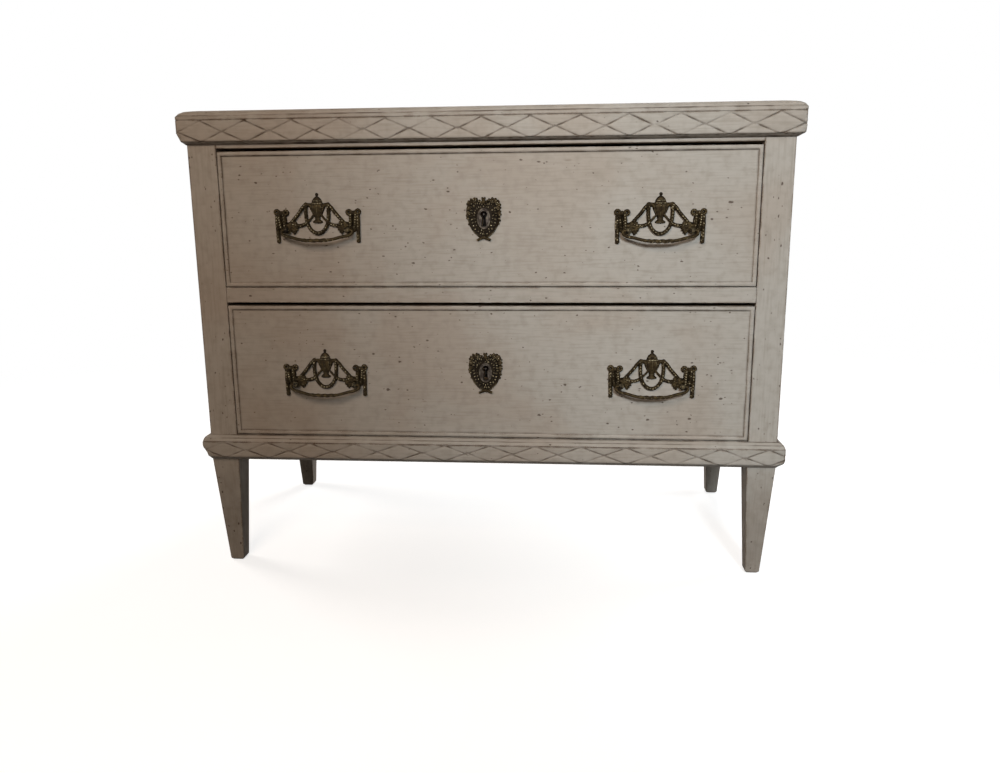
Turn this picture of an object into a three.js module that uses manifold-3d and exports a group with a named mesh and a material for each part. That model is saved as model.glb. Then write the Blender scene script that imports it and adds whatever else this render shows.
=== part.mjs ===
// Two-drawer commode chest with a carved top and base, square tapered legs and cast urn handles.
// Millimetres, +Z up, front towards -Y, standing on Z = 0 with the middle of its outline over the origin.
import * as THREE from "three";
import { mergeVertices } from "three/addons/utils/BufferGeometryUtils.js";
import Module from "manifold-3d";

const wasm = await Module();
wasm.setup();

// Clearances
const seatGap = 0.3; // between pieces that are glued, nailed or housed in each other
const overrun = 5; // how far a cutter passes the surface that it opens

// Case
const caseWidth = 1000; // over the posts' outer faces
const caseDepth = 480; // from the front posts' faces to the rear posts' backs
const postSide = 49; // square section of a post above its leg
const lowerOpeningHeight = 237.5;
const middleRailHeight = 26;
const upperOpeningHeight = 232.5;
const friezeHeight = 36;
const panelThickness = 20; // side panels
const backThickness = 10; // back panel
const backSetback = 4; // back panel in from the posts' backs
const grooveDepth = 8; // how far a panel is housed in its frame
const tongueThickness = 10; // on the side panels' edges
const panelRise = 4; // side panels and bottom rails up from the top of the legs
const tenonLength = 28;
const tenonThickness = 12;
const tenonShoulder = 4; // rail above and below its tenon
const bottomBoardThickness = 10;
const bottomBoardRise = 8; // bottom board up from the underside of the bottom rails

// Legs
const legTop = 201.5; // where the square post starts to taper
const outerTaper = 15; // taken off the leg's outer face at the floor
const innerTaper = 10; // taken off the face towards the other leg
const depthTaper = 11.5; // taken off the front and the back
const footArris = 3; // worn edge round the foot

// Top
const topThickness = 24;
const topLip = 15; // edge that covers the moulding
const topOverhang = 13; // past the posts at the front and the sides
const topCorner = 6; // plan radius of the front corners
const topFaceCorner = 30; // the same at the worn upper arris
const lipQuirk = 0.8; // shallow line round the lip's lower edge
const lipStep = 1; // line under the arris
const arrisWidth = 8;
const arrisHeight = 8.4;
const topMouldingHeight = 39.5;
const coveWidth = 10; // rounding under the top moulding
const coveHeight = 12;

// Base moulding
const baseMouldingHeight = 45.5;
const baseProjection = 13.5;
const baseBandHeight = 35; // carved band up to its groove
const baseQuirk = 1.6; // depth of that groove
const baseLip = 3; // flat on top beside the case
const baseUnder = 8; // rounding under the band
const baseCorner = 7;

// Drawers
const sideClearance = 1.6; // drawer to post, and drawer to guide
const bottomClearance = 1.5; // drawer front to the rail below
const topClearance = 5.5; // drawer front to the rail above
const frontThickness = 22;
const frontSetback = 1.5; // drawer front behind the posts' faces
const lapThickness = 6; // wood left in front of the tails
const drawerSideThickness = 14;
const drawerSideDrop = 2.5; // sides lower than the front
const drawerBackThickness = 12;
const drawerBottomThickness = 8;
const drawerGroove = 7; // depth of the groove for the bottom
const grooveRise = 10; // groove up from the lower edge
const stopLength = 11; // block behind a closed drawer
const tailCount = 4;
const tailWidthShare = 0.62; // of the pitch, at the root
const tailSlopeShare = 1 / 6;
const beadWidth = 7;
const beadEdge = 1.1; // square part of the cock bead
const beadRound = 1.9; // rise of its half-round

// Runners, guides, stops and kickers
const lowerRunnerThickness = 20;
const upperRunnerThickness = 30; // it also keeps the lower drawer from tipping
const runnerWidth = 26; // under the drawer's side
const guideHeight = 20;
const kickerThickness = 24;
const kickerGap = 4; // over the drawer's sides

// Handles: an openwork casting bolted on at two bosses, with a bail between the bolts
const handlePlaceShare = 0.6275; // handles' middles, out along half a drawer front
const upperLeftHandleRise = 5; // handles fitted by hand, each a little off its even place
const upperRightHandleRise = 1;
const upperRightHandleShift = 8; // to the right
const lowerRightHandleRise = 2;
const lowerRightHandleShift = 2;
const handleHeight = 67; // finial to the bottom of the rope loop under the urn
const handleHalfWidth = 70; // middle to the ribbon tails
const finialRise = 39.5; // finial above the middle of the drawer front
const castingDepth = 6;
const urnRadius = 12;
const urnHeight = 49.5;
const urnDepthShare = 0.5;
const ropeRadius = 2.7;
const loopRadius = 4; // bow loops
const loopWire = 1.8;
const knotRadius = 4.4;
const leafRadius = 6.5;
const leafDepthShare = 0.7;
const bossRadius = 6.4;
const bossThickness = 4;
const boltSpacing = 104;
const boltDrop = 22.5; // bolts below the middle of the drawer front
const boltRadius = 3;
const boltHeadRadius = 5.2;
const boltReach = 10; // bail's axis in front of the drawer front
const boltHoleRadius = 3.8;
const nutSide = 12;
const nutThickness = 5;
const bailRadius = 2.8;
const bailEyeRadius = 3.4;
const bailDrop = 16.5; // grip below the bail's axis
const bailBow = 11.5; // grip in front of the bail's axis
const bailPinInset = 4.5; // pin past the bolt's middle
const gripLength = 44;
const gripRadius = 3.1;

// Escutcheons and keyholes
const shieldWidth = 22;
const shieldHeight = 34;
const shieldThickness = 2.2;
const wreathWidth = 40; // between the wreath's middle lines
const wreathHeight = 50;
const wreathWire = 3.6;
const leafworkThickness = 2.6; // between the wreath and the shield's outline
const escutcheonHeight = 72;
const escutcheonWidth = 58;
const curlRadius = 4.4;
const curlWire = 2;
const knobRadius = 3.6;
const keyholeHeight = 25;
const keyholeHead = 5.5; // radius of the round head
const keyholeSlot = 5.2; // width
const keyholeFoot = 8; // width
const keyholeEase = 0.6; // keyhole in the wood wider than in the escutcheon

// Locks
const lockPlateWidth = 60;
const lockPlateThickness = 2;
const lockCaseWidth = 54;
const lockCaseHeight = 60;
const lockCaseDepth = 15;
const lockNeckWidth = 30;
const lockNeckInset = 6; // neck below the drawer front's top edge
const keeperHeight = 12;
const keeperWall = 3;
const lockBoltWidth = 16;
const lockBoltThickness = 4.5;
const lockBoltInset = 1; // bolt below the drawer front's top edge at rest
const lockBoltFoot = 15; // bolt's lower end above the middle of the keyhole
const lockBoltGap = 0.4;
const lockBoltTravel = 12;
const drillPinRadius = 1.5;
const drillPinInset = 2; // behind the escutcheon's face

// Roundness
const cornerSteps = 4;
const arrisSteps = 3;
const beadSteps = 4;
const barSides = 8;
const ropeSides = 5;
const bailSteps = 22;
const ropeSteps = 3; // along each hanging rope

// Places worked out from the sizes above
const halfWidth = caseWidth / 2;
const openingHalf = halfWidth - postSide;
const bottomRailTop = legTop + baseMouldingHeight;
const middleRailBottom = bottomRailTop + lowerOpeningHeight;
const middleRailTop = middleRailBottom + middleRailHeight;
const friezeBottom = middleRailTop + upperOpeningHeight;
const caseTop = friezeBottom + friezeHeight;
const overallHeight = caseTop + topThickness;
const lipBottom = overallHeight - topLip;
const rearFace = caseDepth - postSide; // rear posts' faces towards the front
const drawerHalf = openingHalf - sideClearance;
const handlePlace = drawerHalf * handlePlaceShare;
const handleMoves = {
  lower: { left: [0, 0], right: [lowerRightHandleShift, lowerRightHandleRise] },
  upper: { left: [0, upperLeftHandleRise], right: [upperRightHandleShift, upperRightHandleRise] },
};
const drawerEnd = rearFace - stopLength - 2 * seatGap; // back of a closed drawer
const boltMiddle = frontThickness + seatGap + lockPlateThickness + lockBoltGap + lockBoltThickness / 2;
const frontReach = boltReach + bailBow + gripRadius - frontSetback; // bails in front of the posts

// Finishes, as colour, roughness and metalness
const paint = { color: 0xa79d90, roughness: 0.62, metalness: 0 };
const bareWood = { color: 0x9a7b55, roughness: 0.75, metalness: 0 };
const castBrass = { color: 0x4d4433, roughness: 0.42, metalness: 0.9 };
const iron = { color: 0x3a3633, roughness: 0.55, metalness: 0.85 };

// Solids

function solidOf(geometry) {
  const bare = geometry.clone();
  bare.deleteAttribute("normal");
  bare.deleteAttribute("uv");
  const merged = mergeVertices(bare);
  const places = merged.attributes.position;
  const corners = [];
  const a = new THREE.Vector3();
  const b = new THREE.Vector3();
  const c = new THREE.Vector3();
  let volume = 0;
  for (let i = 0; i < merged.index.count; i += 3) {
    const [p, q, r] = [merged.index.getX(i), merged.index.getX(i + 1), merged.index.getX(i + 2)];
    if (p === q || q === r || r === p) continue;
    corners.push(p, q, r);
    a.fromBufferAttribute(places, p);
    b.fromBufferAttribute(places, q);
    c.fromBufferAttribute(places, r);
    volume += a.dot(b.cross(c));
  }
  if (volume < 0) corners.reverse();
  return new wasm.Manifold(
    new wasm.Mesh({
      numProp: 3,
      vertProperties: new Float32Array(places.array),
      triVerts: new Uint32Array(corners),
    }),
  );
}

function geometryOf(solid) {
  const { vertProperties, triVerts } = solid.getMesh();
  const geometry = new THREE.BufferGeometry();
  geometry.setAttribute("position", new THREE.BufferAttribute(vertProperties, 3));
  geometry.setIndex(new THREE.BufferAttribute(triVerts, 1));
  geometry.computeVertexNormals();
  return geometry;
}

function joined(solids) {
  return solids.reduce((whole, next) => whole.add(next));
}

function cutAway(solid, cutters) {
  return cutters.reduce((rest, cutter) => rest.subtract(cutter), solid);
}

// A block between two corners, grown on every side by an ease
function block(low, high, ease = 0) {
  const size = high.map((value, i) => value - low[i] + 2 * ease);
  const geometry = new THREE.BoxGeometry(...size);
  geometry.translate(...high.map((value, i) => (value + low[i]) / 2));
  return solidOf(geometry);
}

function extruded(outline, depth, basis) {
  const shape = outline instanceof THREE.Shape ? outline : new THREE.Shape(outline);
  const geometry = new THREE.ExtrudeGeometry(shape, { depth, bevelEnabled: false, curveSegments: barSides });
  return solidOf(geometry.applyMatrix4(basis));
}

// An outline in Y and Z, carried along X
function prismX(outline, from, to) {
  const basis = new THREE.Matrix4().set(0, 0, 1, from, 1, 0, 0, 0, 0, 1, 0, 0, 0, 0, 0, 1);
  return extruded(outline.map(([y, z]) => new THREE.Vector2(y, z)), to - from, basis);
}

// An outline in X and Z, carried along Y
function prismY(outline, from, to) {
  const basis = new THREE.Matrix4().set(1, 0, 0, 0, 0, 0, -1, to, 0, 1, 0, 0, 0, 0, 0, 1);
  return extruded(outline, to - from, basis);
}

// An outline in X and Y, carried along Z
function prismZ(outline, from, to) {
  return extruded(outline, to - from, new THREE.Matrix4().makeTranslation(0, 0, from));
}

// Skins a row of rings with as many points each; a looped row joins its last ring to its first
function loft(rings, looped = false) {
  const size = rings[0].length;
  const faces = [];
  const bays = looped ? rings.length : rings.length - 1;
  for (let bay = 0; bay < bays; bay += 1) {
    const near = bay * size;
    const far = ((bay + 1) % rings.length) * size;
    for (let i = 0; i < size; i += 1) {
      const j = (i + 1) % size;
      faces.push(near + i, near + j, far + j, near + i, far + j, far + i);
    }
  }
  if (!looped) {
    capFaces(rings[0], true).forEach((corner) => faces.push(corner));
    const start = (rings.length - 1) * size;
    capFaces(rings.at(-1), false).forEach((corner) => faces.push(start + corner));
  }
  const geometry = new THREE.BufferGeometry().setFromPoints(rings.flat());
  geometry.setIndex(faces);
  return solidOf(geometry);
}

// Triangles across a flat ring, in the ring's own order or against it
function capFaces(ring, against) {
  const flat = flattened(ring);
  const turn = Math.sign(THREE.ShapeUtils.area(flat)) * (against ? -1 : 1);
  return THREE.ShapeUtils.triangulateShape(flat, []).flatMap(([p, q, r]) => {
    const forward = Math.sign(THREE.ShapeUtils.area([flat[p], flat[q], flat[r]])) === turn;
    return forward ? [p, q, r] : [p, r, q];
  });
}

// Drops the axis along which the ring's plane faces most
function flattened(ring) {
  const normal = new THREE.Vector3();
  ring.forEach((point, i) => {
    const next = ring[(i + 1) % ring.length];
    normal.add(new THREE.Vector3().crossVectors(point, next));
  });
  const [x, y, z] = normal.toArray().map(Math.abs);
  if (z >= x && z >= y) return ring.map((point) => new THREE.Vector2(point.x, point.y));
  if (y >= x) return ring.map((point) => new THREE.Vector2(point.x, point.z));
  return ring.map((point) => new THREE.Vector2(point.y, point.z));
}

// A revolved profile of radius and height, its axis turned from Y to the wanted one
function turned(profile, sides, axis) {
  const points = profile.map(([radius, at]) => new THREE.Vector2(radius, at));
  const geometry = new THREE.LatheGeometry(points, sides);
  const turn = new THREE.Quaternion().setFromUnitVectors(new THREE.Vector3(0, 1, 0), axis);
  return solidOf(geometry.applyQuaternion(turn));
}

function rod(radius, from, to, sides, axis) {
  return turned([[0, from], [radius, from], [radius, to], [0, to]], sides, axis);
}

// A round bar along a smooth line through points
function bar(points, radius, steps, sides) {
  const path = new THREE.CatmullRomCurve3(points, false, "centripetal");
  const section = new THREE.Shape(
    Array.from({ length: sides }, (_, i) => {
      const angle = (2 * Math.PI * (i + 0.5)) / sides;
      return new THREE.Vector2(radius * Math.cos(angle), radius * Math.sin(angle));
    }),
  );
  return solidOf(new THREE.ExtrudeGeometry(section, { steps, extrudePath: path }));
}

const alongX = new THREE.Vector3(1, 0, 0);
const alongY = new THREE.Vector3(0, 1, 0);
const alongZ = new THREE.Vector3(0, 0, 1);

function piece(parent, name, solid, finish) {
  const mesh = new THREE.Mesh(geometryOf(solid), new THREE.MeshStandardMaterial(finish));
  mesh.name = name;
  parent.add(mesh);
}

// Case frame

const bottomRailBottom = legTop + panelRise;
const railLevels = {
  bottom: [bottomRailBottom, bottomRailTop],
  middle: [middleRailBottom, middleRailTop],
  frieze: [friezeBottom, caseTop],
};
const sideNames = { left: -1, right: 1 };

// One tenon, growing out of a rail's end into a post
function tenon(side, rear, [bottom, top], ease = 0) {
  const middle = rear ? caseDepth - postSide / 2 : postSide / 2;
  const ends = [side * (openingHalf - overrun), side * (openingHalf + tenonLength)];
  const low = [Math.min(...ends), middle - tenonThickness / 2, bottom + tenonShoulder];
  const high = [Math.max(...ends), middle + tenonThickness / 2, top - tenonShoulder];
  return block(low, high, ease);
}

function backPanel(ease = 0) {
  const rear = caseDepth - backSetback;
  const reach = openingHalf + grooveDepth;
  const low = [-reach, rear - backThickness, bottomRailTop - grooveDepth];
  return block(low, [reach, rear, friezeBottom + grooveDepth], ease);
}

function sideTongue(side, ease = 0) {
  const middle = side * (halfWidth - panelThickness / 2);
  const low = [middle - tongueThickness / 2, postSide - grooveDepth, bottomRailBottom];
  return block(low, [middle + tongueThickness / 2, rearFace + grooveDepth, caseTop], ease);
}

function bottomTongue(ease = 0) {
  const bottom = bottomRailBottom + bottomBoardRise;
  const reach = openingHalf - seatGap;
  const low = [-reach, postSide - grooveDepth, bottom];
  return block(low, [reach, rearFace + grooveDepth, bottom + bottomBoardThickness], ease);
}

// Square above, tapering on all four faces to the foot
function post(side, rear) {
  const inward = rear ? -1 : 1;
  const face = rear ? caseDepth : 0;
  const ring = (z, outer, inner, depth) => {
    const xs = [side * (halfWidth - outer), side * (openingHalf + inner)];
    const ys = [face + inward * depth, face + inward * (postSide - depth)];
    return [[0, 0], [1, 0], [1, 1], [0, 1]].map(([i, j]) => new THREE.Vector3(xs[i], ys[j], z));
  };
  const tapered = (z, extra) => {
    const share = 1 - z / legTop;
    return ring(z, outerTaper * share + extra, innerTaper * share + extra, depthTaper * share + extra);
  };
  const foot = [tapered(0, footArris), tapered(footArris, 0)];
  const shaft = loft([...foot, tapered(legTop, 0), ring(caseTop, 0, 0, 0)]);
  const levels = rear ? [railLevels.bottom, railLevels.frieze] : Object.values(railLevels);
  const housings = levels.map((level) => tenon(side, rear, level, seatGap));
  housings.push(sideTongue(side, seatGap));
  if (rear) housings.push(backPanel(seatGap));
  return cutAway(shaft, housings);
}

// A rail between two posts, with a tenon at each end and a mortise for each lock bolt below it
function rail(rear, level, hasMortise) {
  const near = rear ? rearFace : 0;
  const reach = openingHalf - seatGap;
  const body = block([-reach, near, level[0]], [reach, near + postSide, level[1]]);
  const whole = joined([body, tenon(-1, rear, level), tenon(1, rear, level)]);
  const cutters = [];
  if (hasMortise) {
    const middle = frontSetback + boltMiddle;
    const half = lockBoltWidth / 2;
    const depth = lockBoltTravel - topClearance;
    const low = [-half, middle - lockBoltThickness / 2, level[0] - overrun];
    cutters.push(block(low, [half, middle + lockBoltThickness / 2, level[0] + depth], 2 * lockBoltGap));
  }
  if (level === railLevels.bottom) cutters.push(bottomTongue(seatGap));
  if (rear) cutters.push(backPanel(seatGap));
  return cutAway(whole, cutters);
}

function sidePanel(side) {
  const faces = [side * halfWidth, side * (halfWidth - panelThickness)];
  const low = [Math.min(...faces), postSide + seatGap, bottomRailBottom];
  const body = block(low, [Math.max(...faces), rearFace - seatGap, caseTop]);
  return joined([body, sideTongue(side)]);
}

function bottomBoard() {
  const bottom = bottomRailBottom + bottomBoardRise;
  const reach = halfWidth - panelThickness - seatGap;
  const top = bottom + bottomBoardThickness;
  const body = block([-reach, postSide + seatGap, bottom], [reach, rearFace - seatGap, top]);
  return joined([body, bottomTongue()]);
}

// Board with a rounded and stepped edge at the front and the sides, rebated to sit inside its moulding
function topBoard() {
  const reach = halfWidth + topOverhang;
  const outline = (inset, radius, z) => {
    const ring = [1, -1].map((side) => new THREE.Vector3(side * (reach - inset), caseDepth, z));
    for (const side of [-1, 1]) {
      const x = side * (reach - inset - radius);
      const y = inset + radius - topOverhang;
      for (let step = 0; step <= cornerSteps; step += 1) {
        const share = side < 0 ? step / cornerSteps : 1 - step / cornerSteps;
        const angle = (share * Math.PI) / 2;
        const dx = side * radius * Math.cos(angle);
        ring.push(new THREE.Vector3(x + dx, y - radius * Math.sin(angle), z));
      }
    }
    return ring;
  };
  const arrisBottom = overallHeight - arrisHeight;
  const rings = [
    outline(lipQuirk, topCorner, lipBottom),
    outline(0, topCorner, lipBottom + lipQuirk),
    outline(0, topCorner, arrisBottom - lipStep),
  ];
  for (let step = 0; step <= arrisSteps; step += 1) {
    const angle = ((step / arrisSteps) * Math.PI) / 2;
    const radius = THREE.MathUtils.lerp(topCorner, topFaceCorner, step / arrisSteps);
    const inset = lipStep + arrisWidth * (1 - Math.cos(angle));
    rings.push(outline(inset, radius, arrisBottom + arrisHeight * Math.sin(angle)));
  }
  const field = block(
    [seatGap - halfWidth, seatGap, caseTop + seatGap],
    [halfWidth - seatGap, caseDepth, lipBottom + overrun],
  );
  return joined([loft(rings), field]);
}

// Mouldings

// Bottom to top down the outside; the first and last points lie against the case
function topMouldingProfile() {
  const top = lipBottom - seatGap;
  const bottom = lipBottom - topMouldingHeight;
  const points = [[seatGap, top], [topOverhang, top]];
  for (let step = 0; step <= arrisSteps; step += 1) {
    const angle = ((step / arrisSteps) * Math.PI) / 2;
    const out = topOverhang - coveWidth * (1 - Math.cos(angle));
    points.push([out, bottom + coveHeight * (1 - Math.sin(angle))]);
  }
  points.push([seatGap, bottom]);
  return points;
}

const baseOvoloShares = [[0.3, 0.22], [0.52, 0.3], [0.82, 0.62], [1, 0.94]];

function baseMouldingProfile() {
  const top = bottomRailTop;
  const groove = legTop + baseBandHeight;
  const points = [[seatGap, top], [baseLip, top]];
  for (const [out, down] of baseOvoloShares) {
    points.push([THREE.MathUtils.lerp(baseLip, baseProjection - baseQuirk / 2, out),
      THREE.MathUtils.lerp(top, groove, down)]);
  }
  points.push([baseProjection - baseQuirk, groove]);
  points.push([baseProjection, groove - baseQuirk]);
  points.push([baseProjection, legTop + baseUnder]);
  points.push([baseProjection - baseUnder / 2, legTop + baseUnder / 4]);
  points.push([baseProjection - baseUnder, legTop]);
  points.push([seatGap, legTop]);
  return points;
}

// One length of moulding on the front or a side, mitred at the front corners, with its outer corner rounded
function moulding(profile, place, projection, corner) {
  const ends = place === "front"
    ? [-1, 1].map((side) => profile.map(([out, z]) => new THREE.Vector3(side * (halfWidth + out), -out, z)))
    : [0, 1].map((rear) => profile.map(([out, z]) => {
      const y = rear ? caseDepth : 2 * seatGap - out;
      return new THREE.Vector3(sideNames[place] * (halfWidth + out), y, z);
    }));
  const zs = profile.map(([, z]) => z);
  const reach = halfWidth + projection;
  const plan = new THREE.Shape();
  plan.moveTo(-reach, caseDepth);
  plan.lineTo(-reach, corner - projection);
  plan.absarc(corner - reach, corner - projection, corner, Math.PI, 1.5 * Math.PI);
  plan.absarc(reach - corner, corner - projection, corner, 1.5 * Math.PI, 2 * Math.PI);
  plan.lineTo(reach, caseDepth);
  const outline = plan.extractPoints(cornerSteps).shape;
  return loft(ends).intersect(prismZ(outline, Math.min(...zs) - overrun, Math.max(...zs) + overrun));
}

// Runners and kickers

// Carries one side of a drawer, guides it and stops it at the back
function runner(side, railTop, thickness) {
  const top = railTop + bottomClearance - seatGap;
  const wall = halfWidth - panelThickness - seatGap;
  const inner = openingHalf - runnerWidth;
  const outline = [
    [wall, top - thickness],
    [wall, top + guideHeight],
    [openingHalf, top + guideHeight],
    [openingHalf, top],
    [inner, top],
    [inner, top - thickness],
  ].map(([x, z]) => new THREE.Vector2(side * x, z));
  const near = postSide + seatGap;
  const far = rearFace - seatGap;
  const stopXs = [side * inner, side * (openingHalf + overrun)];
  const stop = block(
    [Math.min(...stopXs), drawerEnd + seatGap, top - overrun],
    [Math.max(...stopXs), far, top + guideHeight],
  );
  return joined([prismY(outline, near, far), stop]);
}

function kicker(side, sideTop) {
  const xs = [side * (halfWidth - panelThickness - seatGap), side * (openingHalf - runnerWidth)];
  const bottom = sideTop + kickerGap;
  return block(
    [Math.min(...xs), postSide + seatGap, bottom],
    [Math.max(...xs), rearFace - seatGap, bottom + kickerThickness],
  );
}

// Drawer boards

// Tails share out the height of a corner, and each flares towards its tip
function tails(bottom, top, length) {
  const pitch = (top - bottom) / tailCount;
  const root = (pitch * tailWidthShare) / 2;
  return Array.from({ length: tailCount }, (_, i) => {
    return { middle: bottom + pitch * (i + 0.5), root, tip: root + length * tailSlopeShare };
  });
}

function drawerSizes(openingHeight) {
  const height = openingHeight - bottomClearance - topClearance;
  const sideTop = height - drawerSideDrop;
  const inner = frontSetback + frontThickness;
  const backNear = drawerEnd - drawerBackThickness;
  const backBottom = grooveRise + drawerBottomThickness + seatGap;
  const frontLength = frontThickness - lapThickness;
  return {
    height,
    sideTop,
    inner,
    backNear,
    backBottom,
    frontLength,
    frontTails: tails(0, sideTop, frontLength),
    backTails: tails(backBottom, sideTop, drawerBackThickness),
  };
}

function drawerBottom(sizes, ease = 0) {
  const reach = drawerHalf - drawerSideThickness + drawerGroove;
  const low = [-reach, sizes.inner - drawerGroove, grooveRise];
  return block(low, [reach, drawerEnd, grooveRise + drawerBottomThickness], ease);
}

function drawerSide(sizes, side) {
  const front = sizes.inner + seatGap;
  const frontTip = sizes.inner - sizes.frontLength + seatGap;
  const back = sizes.backNear - seatGap;
  const outline = [[front, 0]];
  for (const { middle, root, tip } of sizes.frontTails) {
    outline.push([front, middle - root], [frontTip, middle - tip]);
    outline.push([frontTip, middle + tip], [front, middle + root]);
  }
  outline.push([front, sizes.sideTop], [back, sizes.sideTop]);
  for (const { middle, root, tip } of sizes.backTails.toReversed()) {
    outline.push([back, middle + root], [drawerEnd, middle + tip]);
    outline.push([drawerEnd, middle - tip], [back, middle - root]);
  }
  outline.push([back, sizes.backBottom - seatGap], [drawerEnd, sizes.backBottom - seatGap], [drawerEnd, 0]);
  const xs = [side * drawerHalf, side * (drawerHalf - drawerSideThickness)];
  return cutAway(prismX(outline, Math.min(...xs), Math.max(...xs)), [drawerBottom(sizes, seatGap)]);
}

// The room that a row of tails takes in the board it is let into, at both of that board's ends
function sockets(row, shoulder, tipY, past) {
  const towards = Math.sign(tipY - shoulder);
  const mouth = shoulder - towards * overrun;
  const end = tipY + towards * past;
  return [-1, 1].flatMap((side) => row.map(({ middle, root, tip }) => {
    const narrow = root - overrun * tailSlopeShare + seatGap;
    const wide = tip + past * tailSlopeShare + seatGap;
    const lower = [[mouth, middle - narrow], [end, middle - wide]];
    const outline = [...lower, [end, middle + wide], [mouth, middle + narrow]];
    const xs = [side * (drawerHalf - drawerSideThickness - seatGap), side * (drawerHalf + overrun)];
    return prismX(outline, Math.min(...xs), Math.max(...xs));
  }));
}

// A round head over a slot that flares at its foot, around the middle of the hole
function keyholeOutline(ease = 0) {
  const head = keyholeHead + ease;
  const slot = keyholeSlot / 2 + ease;
  const foot = keyholeFoot / 2 + ease;
  const centre = keyholeHeight / 2 - keyholeHead;
  const lean = Math.asin(slot / head);
  const shape = new THREE.Shape();
  shape.absarc(0, centre, head, lean - Math.PI / 2, 1.5 * Math.PI - lean);
  shape.lineTo(-slot, -centre / 2);
  shape.lineTo(-foot, -keyholeHeight / 2 - ease);
  shape.lineTo(foot, -keyholeHeight / 2 - ease);
  shape.lineTo(slot, -centre / 2);
  return shape.extractPoints(barSides / 2).shape;
}

function drawerFront(sizes, moves) {
  const board = block([-drawerHalf, frontSetback, 0], [drawerHalf, sizes.inner, sizes.height]);
  const cutters = sockets(sizes.frontTails, sizes.inner, sizes.inner - sizes.frontLength, seatGap);
  cutters.push(drawerBottom(sizes, seatGap));
  const keyhole = prismY(keyholeOutline(keyholeEase), frontSetback - overrun, sizes.inner + overrun);
  cutters.push(keyhole.translate([0, 0, sizes.height / 2]));
  for (const [sideName, side] of Object.entries(sideNames)) {
    const [shift, rise] = moves[sideName];
    for (const end of [-1, 1]) {
      const hole = rod(boltHoleRadius, frontSetback - overrun, sizes.inner + overrun, barSides, alongY);
      const x = side * handlePlace + shift + (end * boltSpacing) / 2;
      cutters.push(hole.translate([x, 0, sizes.height / 2 + rise - boltDrop]));
    }
  }
  return cutAway(board, cutters);
}

function drawerBack(sizes) {
  const low = [-drawerHalf, sizes.backNear, sizes.backBottom];
  const board = block(low, [drawerHalf, drawerEnd, sizes.sideTop]);
  return cutAway(board, sockets(sizes.backTails, sizes.backNear, drawerEnd, overrun));
}

// Half-round strips mitred round the edge of a drawer front
function cockBead(sizes) {
  const profile = [[0, 0]];
  for (let step = 0; step <= beadSteps; step += 1) {
    const angle = (step / beadSteps) * Math.PI;
    profile.push([(beadWidth * (1 - Math.cos(angle))) / 2, beadEdge + beadRound * Math.sin(angle)]);
  }
  profile.push([beadWidth, 0]);
  const corners = [[-1, 0], [1, 0], [1, 1], [-1, 1]];
  const rings = corners.map(([side, up]) => profile.map(([inset, out]) => {
    const z = up ? sizes.height - inset : inset;
    return new THREE.Vector3(side * (drawerHalf - inset), frontSetback - seatGap - out, z);
  }));
  return loft(rings, true);
}

// Handle, around the middle of its height on the face of the drawer front

// Radius and height along the urn, from the foot to the finial
const urnShares = [
  [0, 0], [0.75, 0], [0.75, 0.08], [0.42, 0.15], [0.9, 0.42], [1, 0.56], [0.95, 0.66],
  [0.74, 0.7], [0.72, 0.82], [0.26, 0.87], [0.32, 0.93], [0.15, 0.98], [0, 1],
];

// Across and down from the finial, as shares of the half width and the height
const ropeShares = {
  festoon: [[0.12, 0.27], [0.25, 0.235], [0.4, 0.42], [0.6, 0.74]],
  loop: [[0.24, 0.26], [0.26, 0.5], [0.24, 0.72], [0.13, 0.94], [0, 1]],
  swag: [[0.2, 0.76], [0.4, 0.83], [0.56, 0.81], [0.72, 0.7]],
  ribbon: [[0.87, 0.52], [0.83, 0.68], [0.76, 0.9]],
  tail: [[0.87, 0.54], [0.97, 0.66], [1, 0.88], [1, 1.2]],
};
const bowShares = [[0.75, 0.46], [0.99, 0.46]];
const knotShare = [0.87, 0.49];
const leafShare = [0.63, 0.88];

function onHandle([across, down], side) {
  const x = side * across * handleHalfWidth;
  return new THREE.Vector3(x, -ropeRadius / 2, finialRise - down * handleHeight);
}

function ball(radius, depthShare) {
  const geometry = new THREE.SphereGeometry(radius, ropeSides, ropeSteps + 1);
  return solidOf(geometry.rotateX(Math.PI / 2).scale(1, depthShare, 1));
}

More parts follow.
